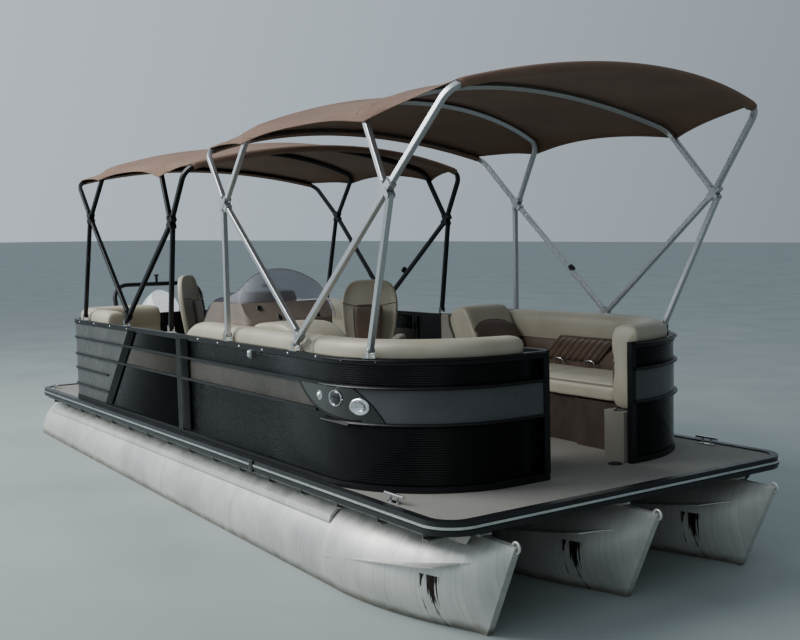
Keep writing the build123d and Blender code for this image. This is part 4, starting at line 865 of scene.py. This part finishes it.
def soft_piece(name, bm, finish, body, stands_for=None):
    """A padded piece: its coarse drawing is rounded, and it may take a plain solid's place."""
    piece = subdivide(place_piece(name, bm, finish, body, 180))
    if stands_for:
        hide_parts(stands_for)
    return piece


def long_cushion(name, side, begin, end, stands_for, end_round=(22.0, 22.0), brown=None, over_rail=None,
                 aft_slope=None):
    """A bolster swept along the fence. brown is the pair of heights between which its inner side is brown."""
    bm = bmesh.new()
    first, last = follow_fence(bm, BOLSTER, side, begin, end, corner_steps=8, run_steps=5)
    close_end(bm, first, along_wall(begin, side, False), 0.5, end_round[0])
    close_end(bm, last, along_wall(end, side, True), 0.5, end_round[1])
    finishes = [cream_vinyl]
    for vert in bm.verts:
        # ahead of the sun top's foot the roll lies over the rail; at its aft end it slopes down
        if over_rail and vert.co.z > RAIL_TOP:
            share = min(max((vert.co.x - over_rail) / 120, 0.0), 1.0)
            out = Vector((vert.co.x - (BOW - BOW_R), vert.co.y - side * (SIDE - BOW_R), 0)).normalized()
            vert.co += out * 34 * share * (1.0 if not is_inner(vert.co, side, 150) else 0.4)
        if aft_slope and vert.co.x < aft_slope:
            vert.co.z -= max(vert.co.z - SEAT_TOP, 0) * min((aft_slope - vert.co.x) / 150, 1.0) * 0.24
    if brown:
        finishes.append(brown_vinyl)
        for face in bm.faces:
            middle = face.calc_center_median()
            if brown[0] < middle.z < brown[1] and is_inner(middle, side, 190):
                face.material_index = 1
    return soft_piece(name, bm, finishes, "hull", stands_for)


def is_inner(point, side, least):
    """Whether a point lies more than least mm inside the fence."""
    x, y = point.x, point.y * side
    if x > BOW - BOW_R:
        if y < SIDE - BOW_R:
            return BOW - x > least
        return BOW_R - hypot(x - (BOW - BOW_R), y - (SIDE - BOW_R)) > least
    if x < STERN + STERN_R:
        return min(x - STERN, SIDE - y) > least
    return SIDE - y > least


RAIL_TOP, SEAT_TOP = 718, 440
BOLSTER = [(70, 302), (60, 330), (57, 520), (55, 640), (50, 722), (54, 778), (88, 806), (150, 810), (204, 794),
           (222, 748), (221, 690), (211, 640), (198, 612), (209, 586), (218, 520), (217, 380), (210, 302)]
BACKS = {"starboard": [(("bow", 396), ("side", -1372)), (("side", -1384), ("side", -2580)),
                       (("side", -2606), ("side", -3250))],
         "port": [(("bow", 468), ("side", -1150)), (("side", -1196), ("side", -2330)),
                  (("side", -2356), ("side", -2738))]}
ENDS = {"starboard": [(22, 4), (4, 26), (10, 20)], "port": [(32, 22), (22, 22), (22, 20)]}
for side_name, side in (("starboard", -1), ("port", 1)):
    for count, (begin, end) in enumerate(BACKS[side_name]):
        long_cushion(f"lounge_bolster_{side_name}_{count}", side, begin, end, "lounge_back_" + side_name,
                     ENDS[side_name][count], brown=(445, 600), over_rail=-690.0 if count == 0 else None,
                     aft_slope=-3115.0 if count == 2 and side < 0 else None)
    print(side_name, "bolster in", len(BACKS[side_name]), "cushions")

# %% [markdown]
# Flat cushions, chair backs and arms start from a flat outline with rounded corners.
# It is extruded to its thickness, and the top face is inset twice: once for the
# rounded edge, once for the crown that the foam pushes up in the middle.

# %% Flat cushions
def rounded(low, high, radius, steps=2):
    """Outline of a rectangle with rounded corners, from low (a, b) to high (a, b)."""
    points = []
    for k, (a, b) in enumerate(((high[0], high[1]), (low[0], high[1]), (low[0], low[1]), (high[0], low[1]))):
        centre = (a - radius if a == high[0] else a + radius, b - radius if b == high[1] else b + radius)
        for step in range(steps + 1):
            angle = pi / 2 * (k + step / steps)
            points.append((centre[0] + radius * cos(angle), centre[1] + radius * sin(angle)))
    return points


def stuffed(bm, outline, thick, crown, edge=14.0, place=None, groove=0.0):
    """A closed cushion over an outline in (a, b), thick along c, crowned on its far face."""
    back = bm.faces.new([bm.verts.new((a, b, 0)) for a, b in outline])
    before = set(bm.verts) - set(back.verts)
    grown = bmesh.ops.extrude_face_region(bm, geom=[back])["geom"]
    front = [f for f in grown if isinstance(f, bmesh.types.BMFace)]
    bmesh.ops.translate(bm, verts=front[0].verts, vec=(0, 0, thick - edge))
    bmesh.ops.inset_region(bm, faces=front, thickness=edge, depth=edge * 0.8, use_even_offset=True)
    if groove:
        bmesh.ops.inset_region(bm, faces=front, thickness=5, depth=-groove, use_even_offset=True)
        bmesh.ops.inset_region(bm, faces=front, thickness=5, depth=groove, use_even_offset=True)
    for share in (0.65, 0.35):
        bmesh.ops.inset_region(bm, faces=front, thickness=edge * 2.2, depth=crown * share, use_even_offset=True)
    bmesh.ops.inset_region(bm, faces=[back], thickness=edge * 0.5, depth=0.0, use_even_offset=True)
    for vert in back.verts:
        vert.co.z -= 2.0
    made = [v for v in bm.verts if v not in before]
    if place is not None:
        bmesh.ops.transform(bm, matrix=place, verts=made)


def cushion(name, outline, thick, crown, edge, place, finish, body, stands_for=None, groove=0.0):
    """A padded cushion over a flat outline, put in place by a matrix."""
    bm = bmesh.new()
    stuffed(bm, outline, thick, crown, edge, place, groove)
    soft_piece(name, bm, finish, body, stands_for)


def axes(origin, a, b, c):
    """Matrix that puts (a, b, c) along three given directions from an origin."""
    return Matrix.Translation(origin) @ Matrix((Vector(a), Vector(b), Vector(c))).transposed().to_4x4()


def piping(name, points, radius, finish, body, closed=False):
    """A round cord, welt or rod through points in mm, as a smooth curve."""
    line = bpy.data.curves.new(name, "CURVE")
    line.dimensions = "3D"
    line.bevel_depth = radius / 1000
    line.bevel_resolution = 3
    line.use_fill_caps = True
    spline = line.splines.new("NURBS")
    spline.points.add(len(points) - 1)
    for made, point in zip(spline.points, points):
        made.co = tuple(at(*point)) + (1.0,)
    spline.order_u = 3
    spline.use_cyclic_u = closed
    spline.use_endpoint_u = not closed
    spline.resolution_u = 6
    line.materials.append(finish)
    piece = in_scene(name, line)
    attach(piece, body)
    return piece


# seat cushions: round the bow corner, then straight to the lounge's end
SEAT_CUSHION = [(232, 302), (227, 330), (228, 420), (240, 441), (330, 448), (470, 449), (590, 446), (638, 436),
                (653, 416), (650, 404), (638, 397), (649, 388), (653, 362), (652, 318), (642, 302)]
for side_name, side, aft in (("starboard", -1, -2560.0), ("port", 1, -2760.0)):
    for which, begin, end in (("bow", -640.0, -1404.0), ("aft", -1412.0, aft + 18)):
        bm = bmesh.new()
        first, last = follow_fence(bm, SEAT_CUSHION, side, ("side", begin), ("side", end), run_steps=4)
        if which == "bow":
            # the bolster's curve cuts the cushion's fore corner: six flats tangent to it
            for angle in (8, 22, 36, 50, 64, 80):
                out = Vector((cos(radians(angle)), side * sin(radians(angle)), 0))
                centre = Vector((BOW - BOW_R, side * (SIDE - BOW_R), 0))
                cut_along(bm, centre + out * (BOW_R - 240), out, clear_outer=True)
            bmesh.ops.holes_fill(bm, edges=[e for e in bm.edges if e.is_boundary and e not in last])
        else:
            close_end(bm, first, Vector((1, 0, 0)), 0.4, 6)
        close_end(bm, last, Vector((-1, 0, 0)), 0.4, 6 if which == "bow" else 18)
        soft_piece(f"lounge_seat_cushion_{which}_{side_name}", bm, cream_vinyl, "hull", "lounge_seat_" + side_name)
print("lounge seats done")

# %% [markdown]
# Each lounge ends in a chaise back that leans aft: a thick cream cushion drawn in side
# view and pulled across the seat, an arched brown insert on its sloping front, and on
# the port side a plain plastic panel behind it.

# %% Chaise backs
CHAISE_SIDES = {
    "starboard": (-1, -2560.0, [(10, 444), (8, 780), (62, 822), (380, 842), (478, 832), (592, 798), (682, 742),
                                (762, 656), (844, 446)], (762, 656), (842, 450)),
    "port": (1, -2760.0, [(330, 446), (345, 560), (262, 700), (250, 762), (302, 826), (370, 852), (440, 852),
                          (482, 832), (526, 756), (596, 637), (682, 520), (722, 446)], (522, 762), (702, 476)),
}
ARCH = [(0.0, 0.0), (1.0, 0.0), (1.0, 0.74), (0.9, 0.84), (0.72, 0.93), (0.5, 0.96), (0.3, 0.94), (0.12, 0.86),
        (0.0, 0.7)]
for side_name, (side, aft, profile, high, low) in CHAISE_SIDES.items():
    outline = [(aft + x, z) for x, z in profile]
    cushion("chaise_back_" + side_name, outline if side < 0 else outline[::-1], 400, 6, 22,
            axes((0, side * 1008, 0), (1, 0, 0), (0, 0, 1), (0, -side, 0)), cream_vinyl, "hull", "chaise_backs")
    up = Vector((high[0] - low[0], 0, high[1] - low[1]))
    slope, length = up.normalized(), up.length
    out = Vector((slope.z, 0, -slope.x))
    foot = Vector((aft + low[0], side * 604, low[1])) - out * 4
    arch = [(a * 398, b * (length - 8)) for a, b in ARCH]
    place = axes(foot, (0, side, 0), slope, out)
    cushion("chaise_insert_" + side_name, arch if side > 0 else arch[::-1], 17, 5, 8, place, brown_vinyl, "hull")
    welt = [tuple(place @ Vector((a, b, 9))) for a, b in arch[2:]]
    piping("chaise_welt_" + side_name, welt, 3.5, piping_vinyl, "hull")
bm = bmesh.new()
panel = [(-2594, 444), (-2594, 768), (-2584, 777), (-2528, 787), (-2512, 778), (-2500, 744), (-2498, 700), (-2418, 560),
         (-2432, 444)]
stuffed(bm, panel[::-1], 396, 1, 5, axes((0, 1004, 0), (1, 0, 0), (0, 0, 1), (0, -1, 0)))
shell = place_piece("chaise_shell_port", bm, pod_plastic, "hull", 30)
bend = shell.modifiers.new("rounded edges", "BEVEL")
bend.width, bend.segments, bend.limit_method = 0.004, 2, "ANGLE"
print("chaise backs done")

# %% [markdown]
# The quilted brown panels on the lower backrests have sewn channels, so each is a
# grid pushed up between its seams. Its ends slant like the chaise backs.

# %% Quilted panels
CHANNEL = 62.0
PANEL_LOW, PANEL_TALL = 472, 168
PANEL_ENDS = {"starboard": (-1, -1342, -1171, -1700, -1560), "port": (1, -1342, -1171, -1912, -1709)}
for side_name, (side, fore_low, fore_high, aft_low, aft_high) in PANEL_ENDS.items():
    bm = bmesh.new()
    bmesh.ops.create_grid(bm, x_segments=108, y_segments=8, size=1.0)
    lean = (fore_high - fore_low) / PANEL_TALL
    for vert in bm.verts:
        high = (vert.co.y + 1) / 2
        z = PANEL_LOW + PANEL_TALL * high
        aft = aft_low + (aft_high - aft_low) * high
        fore = fore_low + (fore_high - fore_low) * high
        x = aft + (fore - aft) * (vert.co.x + 1) / 2
        swell = abs(sin(pi * (x - lean * (z - PANEL_LOW)) / CHANNEL)) ** 0.5
        rim = min(1.0, (1 - abs(vert.co.y)) * 5 + 0.15, (1 - abs(vert.co.x)) * 16 + 0.15)
        vert.co = (x, side * (SIDE - 218 - 17 * rim * (0.2 + 0.8 * swell)), z)
    panel = place_piece("quilted_panel_" + side_name, bm, brown_vinyl, "hull", 180)
    wall = panel.modifiers.new("foam", "SOLIDIFY")
    wall.thickness, wall.offset = 0.006, -1
    low, high = PANEL_LOW - 2, PANEL_LOW + PANEL_TALL + 2
    edge = [(aft_low, low), (aft_high, high), (fore_high, high), (fore_low, low)]
    line = [(x, side * (SIDE - 223), z) for (xa, za), (xb, zb) in zip(edge, edge[1:] + edge[:1])
            for x, z in ((xa + (xb - xa) * t, za + (zb - za) * t) for t in (0.04, 0.5, 0.96))]
    piping("quilted_panel_welt_" + side_name, line, 3.5, piping_vinyl, "hull", closed=True)
bm = bmesh.new()
toe = bm.faces.new([bm.verts.new((x, 625.0, z)) for x, z in ((-1039, 290), (-700, 290), (-700, 160), (-992, 160))])
bmesh.ops.translate(bm, verts=only_verts(bmesh.ops.extrude_face_region(bm, geom=[toe])["geom"]), vec=(0, -7, 0))
place_piece("toe_panel", bm, pod_plastic, "hull", 30)
print("quilted panels done")

# %% [markdown]
# The stern benches are an L on each side. Their bolsters bend round the tight stern
# corner; the seats are flat cushions that meet in a straight joint.

# %% Stern benches
STERN_BENCHES = {"starboard": (-1, -4900.0), "port": (1, -4350.0)}
for side_name, (side, fore) in STERN_BENCHES.items():
    long_cushion(f"stern_bolster_{side_name}", side, ("side", fore - 22), ("stern", 422), "stern_bench_back")
    y_in, y_out = 590.0, 1008.0
    pads = {"side": ((fore - 4, -5244.0), (y_in, y_out)), "stern": ((-5252.0, -5670.0), (404.0, y_out))}
    for which, ((x_high, x_low), (a, b)) in pads.items():
        outline = rounded((x_low, a), (x_high, b), 45)
        if side < 0:
            outline = [(x, -y) for x, y in outline][::-1]
        cushion(f"stern_seat_{which}_{side_name}", outline, 136, 8, 18, Matrix.Translation((0, 0, 304)), cream_vinyl,
                "hull", "stern_bench_seat")
print("stern benches done")

# %% [markdown]
# The two swivel chairs are alike: a plastic pan on a swivel plate, a thick seat pad, a
# back that is wide at the shoulders and narrow at the seat, with a brown insert, and
# two arm pads on black stays. A chair is drawn facing forwards about its own post and
# then turned to where it stands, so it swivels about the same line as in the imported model.

# %% Swivel chairs
SHOULDERS = [(0, 640), (118, 638), (176, 610), (212, 548), (228, 470), (229, 400), (220, 300), (204, 200), (186, 100),
             (170, 0)]
BACK_OUTLINE = [(-a, b) for a, b in SHOULDERS[:0:-1]] + SHOULDERS
INSERT_OUTLINE = [(-88, 52), (88, 52), (104, 180), (116, 330), (118, 424), (60, 432), (-60, 432), (-118, 424),
                  (-116, 330), (-104, 180)]
ARM_OUTLINE = [(-222, 562), (-218, 606), (-180, 622), (-20, 620), (70, 608), (116, 588), (124, 566), (104, 550),
               (-60, 545), (-190, 545)]
STAY_OUTLINE = [(-246, 420), (-186, 420), (-182, 470), (-196, 572), (-240, 572), (-248, 470)]
SHOULDER_WELT = [(-224, 452, 46), (-196, 446, 84), (-118, 426, 90), (0, 420, 92), (118, 426, 90), (196, 446, 84),
                 (224, 452, 46)]
CHAIR_LEAN = radians(6.8)
# post x and y, heading from the bow towards port, and how much higher than the other chair
CHAIRS = {"helm_chair": (-3995.0, -480.0, 50.0, 70.0), "mate_chair": (-3050.0, 180.0, -45.0, 0.0)}
for chair, (post_x, post_y, heading, lift) in CHAIRS.items():
    stand = Matrix.Translation((post_x, post_y, lift)) @ Matrix.Rotation(radians(heading), 4, "Z")
    back_place = stand @ axes((-300, 0, 402), (0, 1, 0), (-sin(CHAIR_LEAN), 0, cos(CHAIR_LEAN)),
                              (cos(CHAIR_LEAN), 0, sin(CHAIR_LEAN)))
    cushion(chair + "_seat_pad", rounded((-196, -240), (262, 240), 80, 3), 106, 9, 22,
            stand @ Matrix.Translation((0, 0, 349)), cream_vinyl, chair, chair, 4)
    cushion(chair + "_back_pad", BACK_OUTLINE, 84, 12, 30, back_place, cream_vinyl, chair, chair)
    cushion(chair + "_back_insert", INSERT_OUTLINE, 20, 5, 8, back_place @ Matrix.Translation((0, 0, 72)), brown_vinyl,
            chair, chair)
    insert_welt = [(a * 1.02, b, 88) for a, b in INSERT_OUTLINE[1:] + INSERT_OUTLINE[:1]]
    for which, points in (("insert", insert_welt), ("shoulders", SHOULDER_WELT)):
        piping(f"{chair}_welt_{which}", [tuple(back_place @ Vector(spot)) for spot in points], 3.6, piping_vinyl, chair)
    for count, side in enumerate((-1, 1)):
        arm, stay = (outline if side < 0 else outline[::-1] for outline in (ARM_OUTLINE, STAY_OUTLINE))
        cushion(f"{chair}_arm_pad_{count}", arm, 60, 3, 15,
                stand @ axes((0, side * 256, 0), (1, 0, 0), (0, 0, 1), (0, side, 0)), cream_vinyl, chair)
        bm = bmesh.new()
        stuffed(bm, stay, 36, 1, 5, stand @ axes((0, side * 250, 0), (1, 0, 0), (0, 0, 1), (0, side, 0)))
        place_piece(f"{chair}_arm_stay_{count}", bm, soft_black, chair, 40)
    bm = bmesh.new()
    stuffed(bm, rounded((-186, -226), (246, 226), 80, 3), 13, 0, 4, stand @ Matrix.Translation((0, 0, 338)))
    bmesh.ops.create_cone(bm, cap_ends=True, segments=40, radius1=118, radius2=118, depth=9,
                          matrix=stand @ Matrix.Translation((0, 0, 333.5)))
    place_piece(chair + "_pan", bm, grained_black, chair, 40)
    print(chair, "faces", heading, "degrees, seat lifted", lift, "mm")

# %% [markdown]
# The windscreen is one sheet of lightly smoked acrylic, warmed and bent round the
# console. Its top edge rises in an arch over the middle; a darker strip of the same
# sheet runs aft along the starboard edge. It is a grid between two lines: where it
# stands on the console, and its top edge.

# %% Windscreen
SCREEN_LINES = [  # foot and top, from the aft end on starboard, round the front, to port
    ((-3292, -1002, 802), (-3292, -1002, 842)), ((-3190, -1002, 898), (-3190, -1002, 934)),
    ((-3040, -1002, 942), (-3042, -1001, 975)), ((-2900, -1000, 942), (-2902, -1000, 987)),
    ((-2770, -992, 942), (-2804, -985, 998)), ((-2712, -945, 942), (-2784, -930, 1063)),
    ((-2688, -880, 942), (-2758, -870, 1124)), ((-2676, -785, 942), (-2728, -780, 1165)),
    ((-2674, -680, 942), (-2744, -680, 1168)), ((-2676, -580, 942), (-2747, -580, 1158)),
    ((-2678, -480, 942), (-2740, -476, 1122)), ((-2684, -395, 942), (-2728, -378, 1062)),
    ((-2690, -350, 942), (-2698, -342, 1000)), ((-2606, -336, 866), (-2612, -335, 918)),
    ((-2556, -336, 806), (-2556, -336, 842))]
for name, first, last, sheet_finish in (("windscreen_sheet", 3, 14, screen_acrylic),
                                        ("windscreen_side_strip", 0, 3, screen_strip)):
    bm = bmesh.new()
    lines = SCREEN_LINES[first:last + 1]
    bmesh.ops.create_grid(bm, x_segments=len(lines) - 1, y_segments=4, size=1.0)
    for vert in bm.verts:
        foot, top = (Vector(end) for end in lines[round((vert.co.x + 1) / 2 * (len(lines) - 1))])
        up = (vert.co.y + 1) / 2
        vert.co = foot.lerp(top, up) + Vector((8, 0, 0)) * (4 * up * (1 - up))
    sheet = place_piece(name, bm, sheet_finish, "hull", 40)
    wall = sheet.modifiers.new("sheet", "SOLIDIFY")
    wall.thickness, wall.offset = 0.004, 0
    subdivide(sheet)
    if first:
        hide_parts("windscreen")
piping("windscreen_edge", [ends[1] for ends in SCREEN_LINES[3:]], 1.8, screen_strip, "hull")
print("windscreen bent round the console")

# %% [markdown]
# On the console: a deep gauge hood seen through the screen, a round vent and two
# pull latches on the sloping front, gauges and switches before the driver, and a
# chrome catch that holds the screen.

# %% Console fittings
def turned_part(name, rings, place, finish, body="hull", turns=28):
    """A part turned on a lathe: rings of (radius, height) about an axis, put in place by a matrix."""
    bm = bmesh.new()
    lathe(bm, rings, turns)
    bmesh.ops.transform(bm, matrix=place, verts=bm.verts)
    return place_piece(name, bm, finish, body, 35, 0.005)


def facing(spot, out):
    """Matrix that puts an upright part at a spot, pointing out."""
    return Matrix.Translation(spot) @ Vector(out).to_track_quat("Z", "Y").to_matrix().to_4x4()


SLOPE_OUT = (0.768, 0.0, 0.64)
turned_part("console_vent_ring", [(0.2, 0.5), (13, 0.5), (14, 4), (20, 5), (23, 2), (23.5, 0)],
            facing((-2639, -885, 903), SLOPE_OUT), grained_black)
for count, (x, y, z) in enumerate(((-2584, -762, 838), (-2590, -462, 844))):
    turned_part(f"console_latch_{count}", [(0.2, 5), (9, 5), (13, 4), (15, 1), (15.5, 0)],
                facing((x, y, z), SLOPE_OUT) @ Matrix.Diagonal((1.0, 1.7, 1.0, 1.0)), grained_black)
DASH_OUT = (-0.69, 0.0, 0.725)


def on_dash(y, share):
    """Place on the sloping dash: share of the way from its top edge to its foot."""
    return Vector((-3140 - 190 * share, y, 941 - 181 * share))


for count, (y, radius) in enumerate(((-900, 44), (-780, 56), (-640, 56), (-520, 40), (-425, 32))):
    place = facing(on_dash(y, 0.28), DASH_OUT)
    turned_part(f"gauge_{count}", [(0.2, 1.5), (radius - 7, 1.5), (radius - 6, 6), (radius - 2, 7), (radius, 4),
                                   (radius + 1, 0)], place, chrome)
    turned_part(f"gauge_dial_{count}", [(0.2, 3.2), (radius - 8, 3.2), (radius - 7.5, 1)], place, lamp_black)
for count in range(6):
    place = facing(on_dash(-900 + 34 * count, 0.72), DASH_OUT) @ Matrix.Translation((0, 0, 3))
    rounded_box(f"dash_switch_{count}", place, (36, 18, 8), 2.5, soft_black)
rounded_box("screen_catch", facing((-2738, -790, 1052), (-0.9, 0, 0.25)), (46, 26, 14), 4, chrome)
print("console fittings done")

# %% [markdown]
# Small things that tell the boat's size: bolt heads along the top rail, polished black
# stiles at the starboard side's joint and at its grey stern panel, a side lamp, the rub
# rail's joint plate and a gusset under each side.

# %% Fence and tube fittings
# the stiles reflect almost nothing, so they stay black: a painted dark reflection
for name, outline, proud in (("gate_stile", [(-3210, 46), (-3056, 46), (-3061, 690), (-3210, 690)], 3.2),
                             ("stern_stile", [(-4876, 46), (-4724, 46), (-4106, 690), (-4263, 690)], 3.0)):
    bm = bmesh.new()
    bent_plate(bm, outline, -1, proud, 5.0, 60.0)
    soften(bm, [e for e in bm.edges if e.calc_face_angle(0) > 1.0], 0.8)
    place_piece(name, bm, stile_black_painted_reflection, "hull", 35)

BOLT_HEAD = [(0.2, 4.2), (3, 4.0), (5.5, 2.8), (6.8, 0.8), (7, -0.5)]
BOLTS = [(-809, 701), (-1020, 702), (-1255, 703), (-1585, 699), (-1916, 695), (-2238, 696), (-2566, 697), (-2891, 700),
         (-4300, 700), (-4700, 700), (-5100, 700), (-5500, 700)]
SIDE_LAMP = [(0.2, 19), (8, 18.5), (13, 15), (15.5, 9), (17, 2), (19, 1), (19.5, -2)]
GUSSET = [(-353, -160), (-156, -153), (-113, -102), (-353, -102)]
SIDES = (("s", -1), ("p", 1))
for mark, side in SIDES:
    for count, (x, z) in enumerate(BOLTS):
        turned_part(f"rail_bolt_{mark}{count}", BOLT_HEAD, facing((x, side * fence_half(x), z), (0, side, 0)), chrome,
                    turns=16)
for mark, side in SIDES:
    oval = facing((-2084, side * SIDE, 658), (0, side, 0)) @ Matrix.Diagonal((1.0, 1.5, 1.0, 1.0))
    turned_part(f"side_lamp_{mark}", SIDE_LAMP, oval, chrome)
    rounded_box(f"rub_rail_joint_{mark}", Matrix.Translation((-2012, side * 1290, -27)), (52, 18, 76), 5, rail_black,
                3)
for mark, side in SIDES:
    bm = bmesh.new()
    face = bm.faces.new([bm.verts.new((x, side * 1041, z)) for x, z in GUSSET])
    grown = bmesh.ops.extrude_face_region(bm, geom=[face])["geom"]
    bmesh.ops.translate(bm, vec=(0, side * 10, 0), verts=only_verts(grown))
    soften(bm, bm.edges[:], 2)
    place_piece(f"rail_gusset_{mark}", bm, shaded_frame_metal, "hull", 40)
print("fence and tube fittings done")

# %% [markdown]
# Each clip is a moulded sleeve round a sun top's tube with a pin head on its outer
# side. It lies on the straight between the tube's foot and its shoulder.

# %% Sun-top clips
TUBE_LINES = {  # foot and shoulder of each tube's starboard side, (x, z)
    "rear_bow_fore": ((-4331, 758), (-3093, 1884)), "rear_bow_aft": ((-4304, 830), (-5484, 1925)),
    "front_bow_aft": ((-1492, 832), (-2753, 1964)),
    "rear_legs_aft": ((-5372, 756), (-5140, 1571)),
}
SLEEVE = [(15.5, -21), (19, -20), (20.5, -17), (20.5, 17), (19, 20), (15.5, 21)]
PIN_HEAD = [(0.2, 26), (4, 25.6), (6.5, 24), (7, 22), (7, 17)]
for tube, side, z in (("rear_bow_aft", 1, 1034), ("rear_legs_aft", -1, 1255), ("rear_legs_aft", 1, 1205),
                      ("rear_bow_fore", 1, 1086), ("front_bow_aft", 1, 1113)):
    foot, shoulder = (Vector((x, side * LEGS_HALF, height)) for x, height in TUBE_LINES[tube])
    spot = foot.lerp(shoulder, (z - foot.z) / (shoulder.z - foot.z))
    label = f"{tube}_clip_{'sp'[side > 0]}{z}"
    turned_part(label, SLEEVE, facing(spot, shoulder - foot), soft_black, tube, 24)
    turned_part(label + "_pin", PIN_HEAD, facing(spot, (0, side, 0)), chrome, tube, 16)
print("clips done")

# %% [markdown]
# Inside: chrome grab handles on the port lounge's back, a floor fitting and a cup ring
# on the pod.

# %% Inside fittings
for count, x in enumerate((-1702, -1391)):
    piping(f"lounge_handle_{count}", [(x - 46, 994, 446), (x - 46, 984, 472), (x - 30, 978, 486), (x + 30, 978, 486),
                                      (x + 46, 984, 472), (x + 46, 994, 446)], 6.0, chrome, "hull")
turned_part("floor_fitting", [(0.2, 3), (18, 3), (21, 6), (34, 7), (40, 5), (44, 0.4)],
            facing((-511, 331, 0), (0, 0, 1)), soft_black)
turned_part("pod_cup_ring", [(40, 1), (41, 6), (45, 8), (52, 7.5), (56, 4), (57, 0.3)],
            facing((-575, 482, 300), (0, 0, 1)), grained_black)
print("inside fittings done")
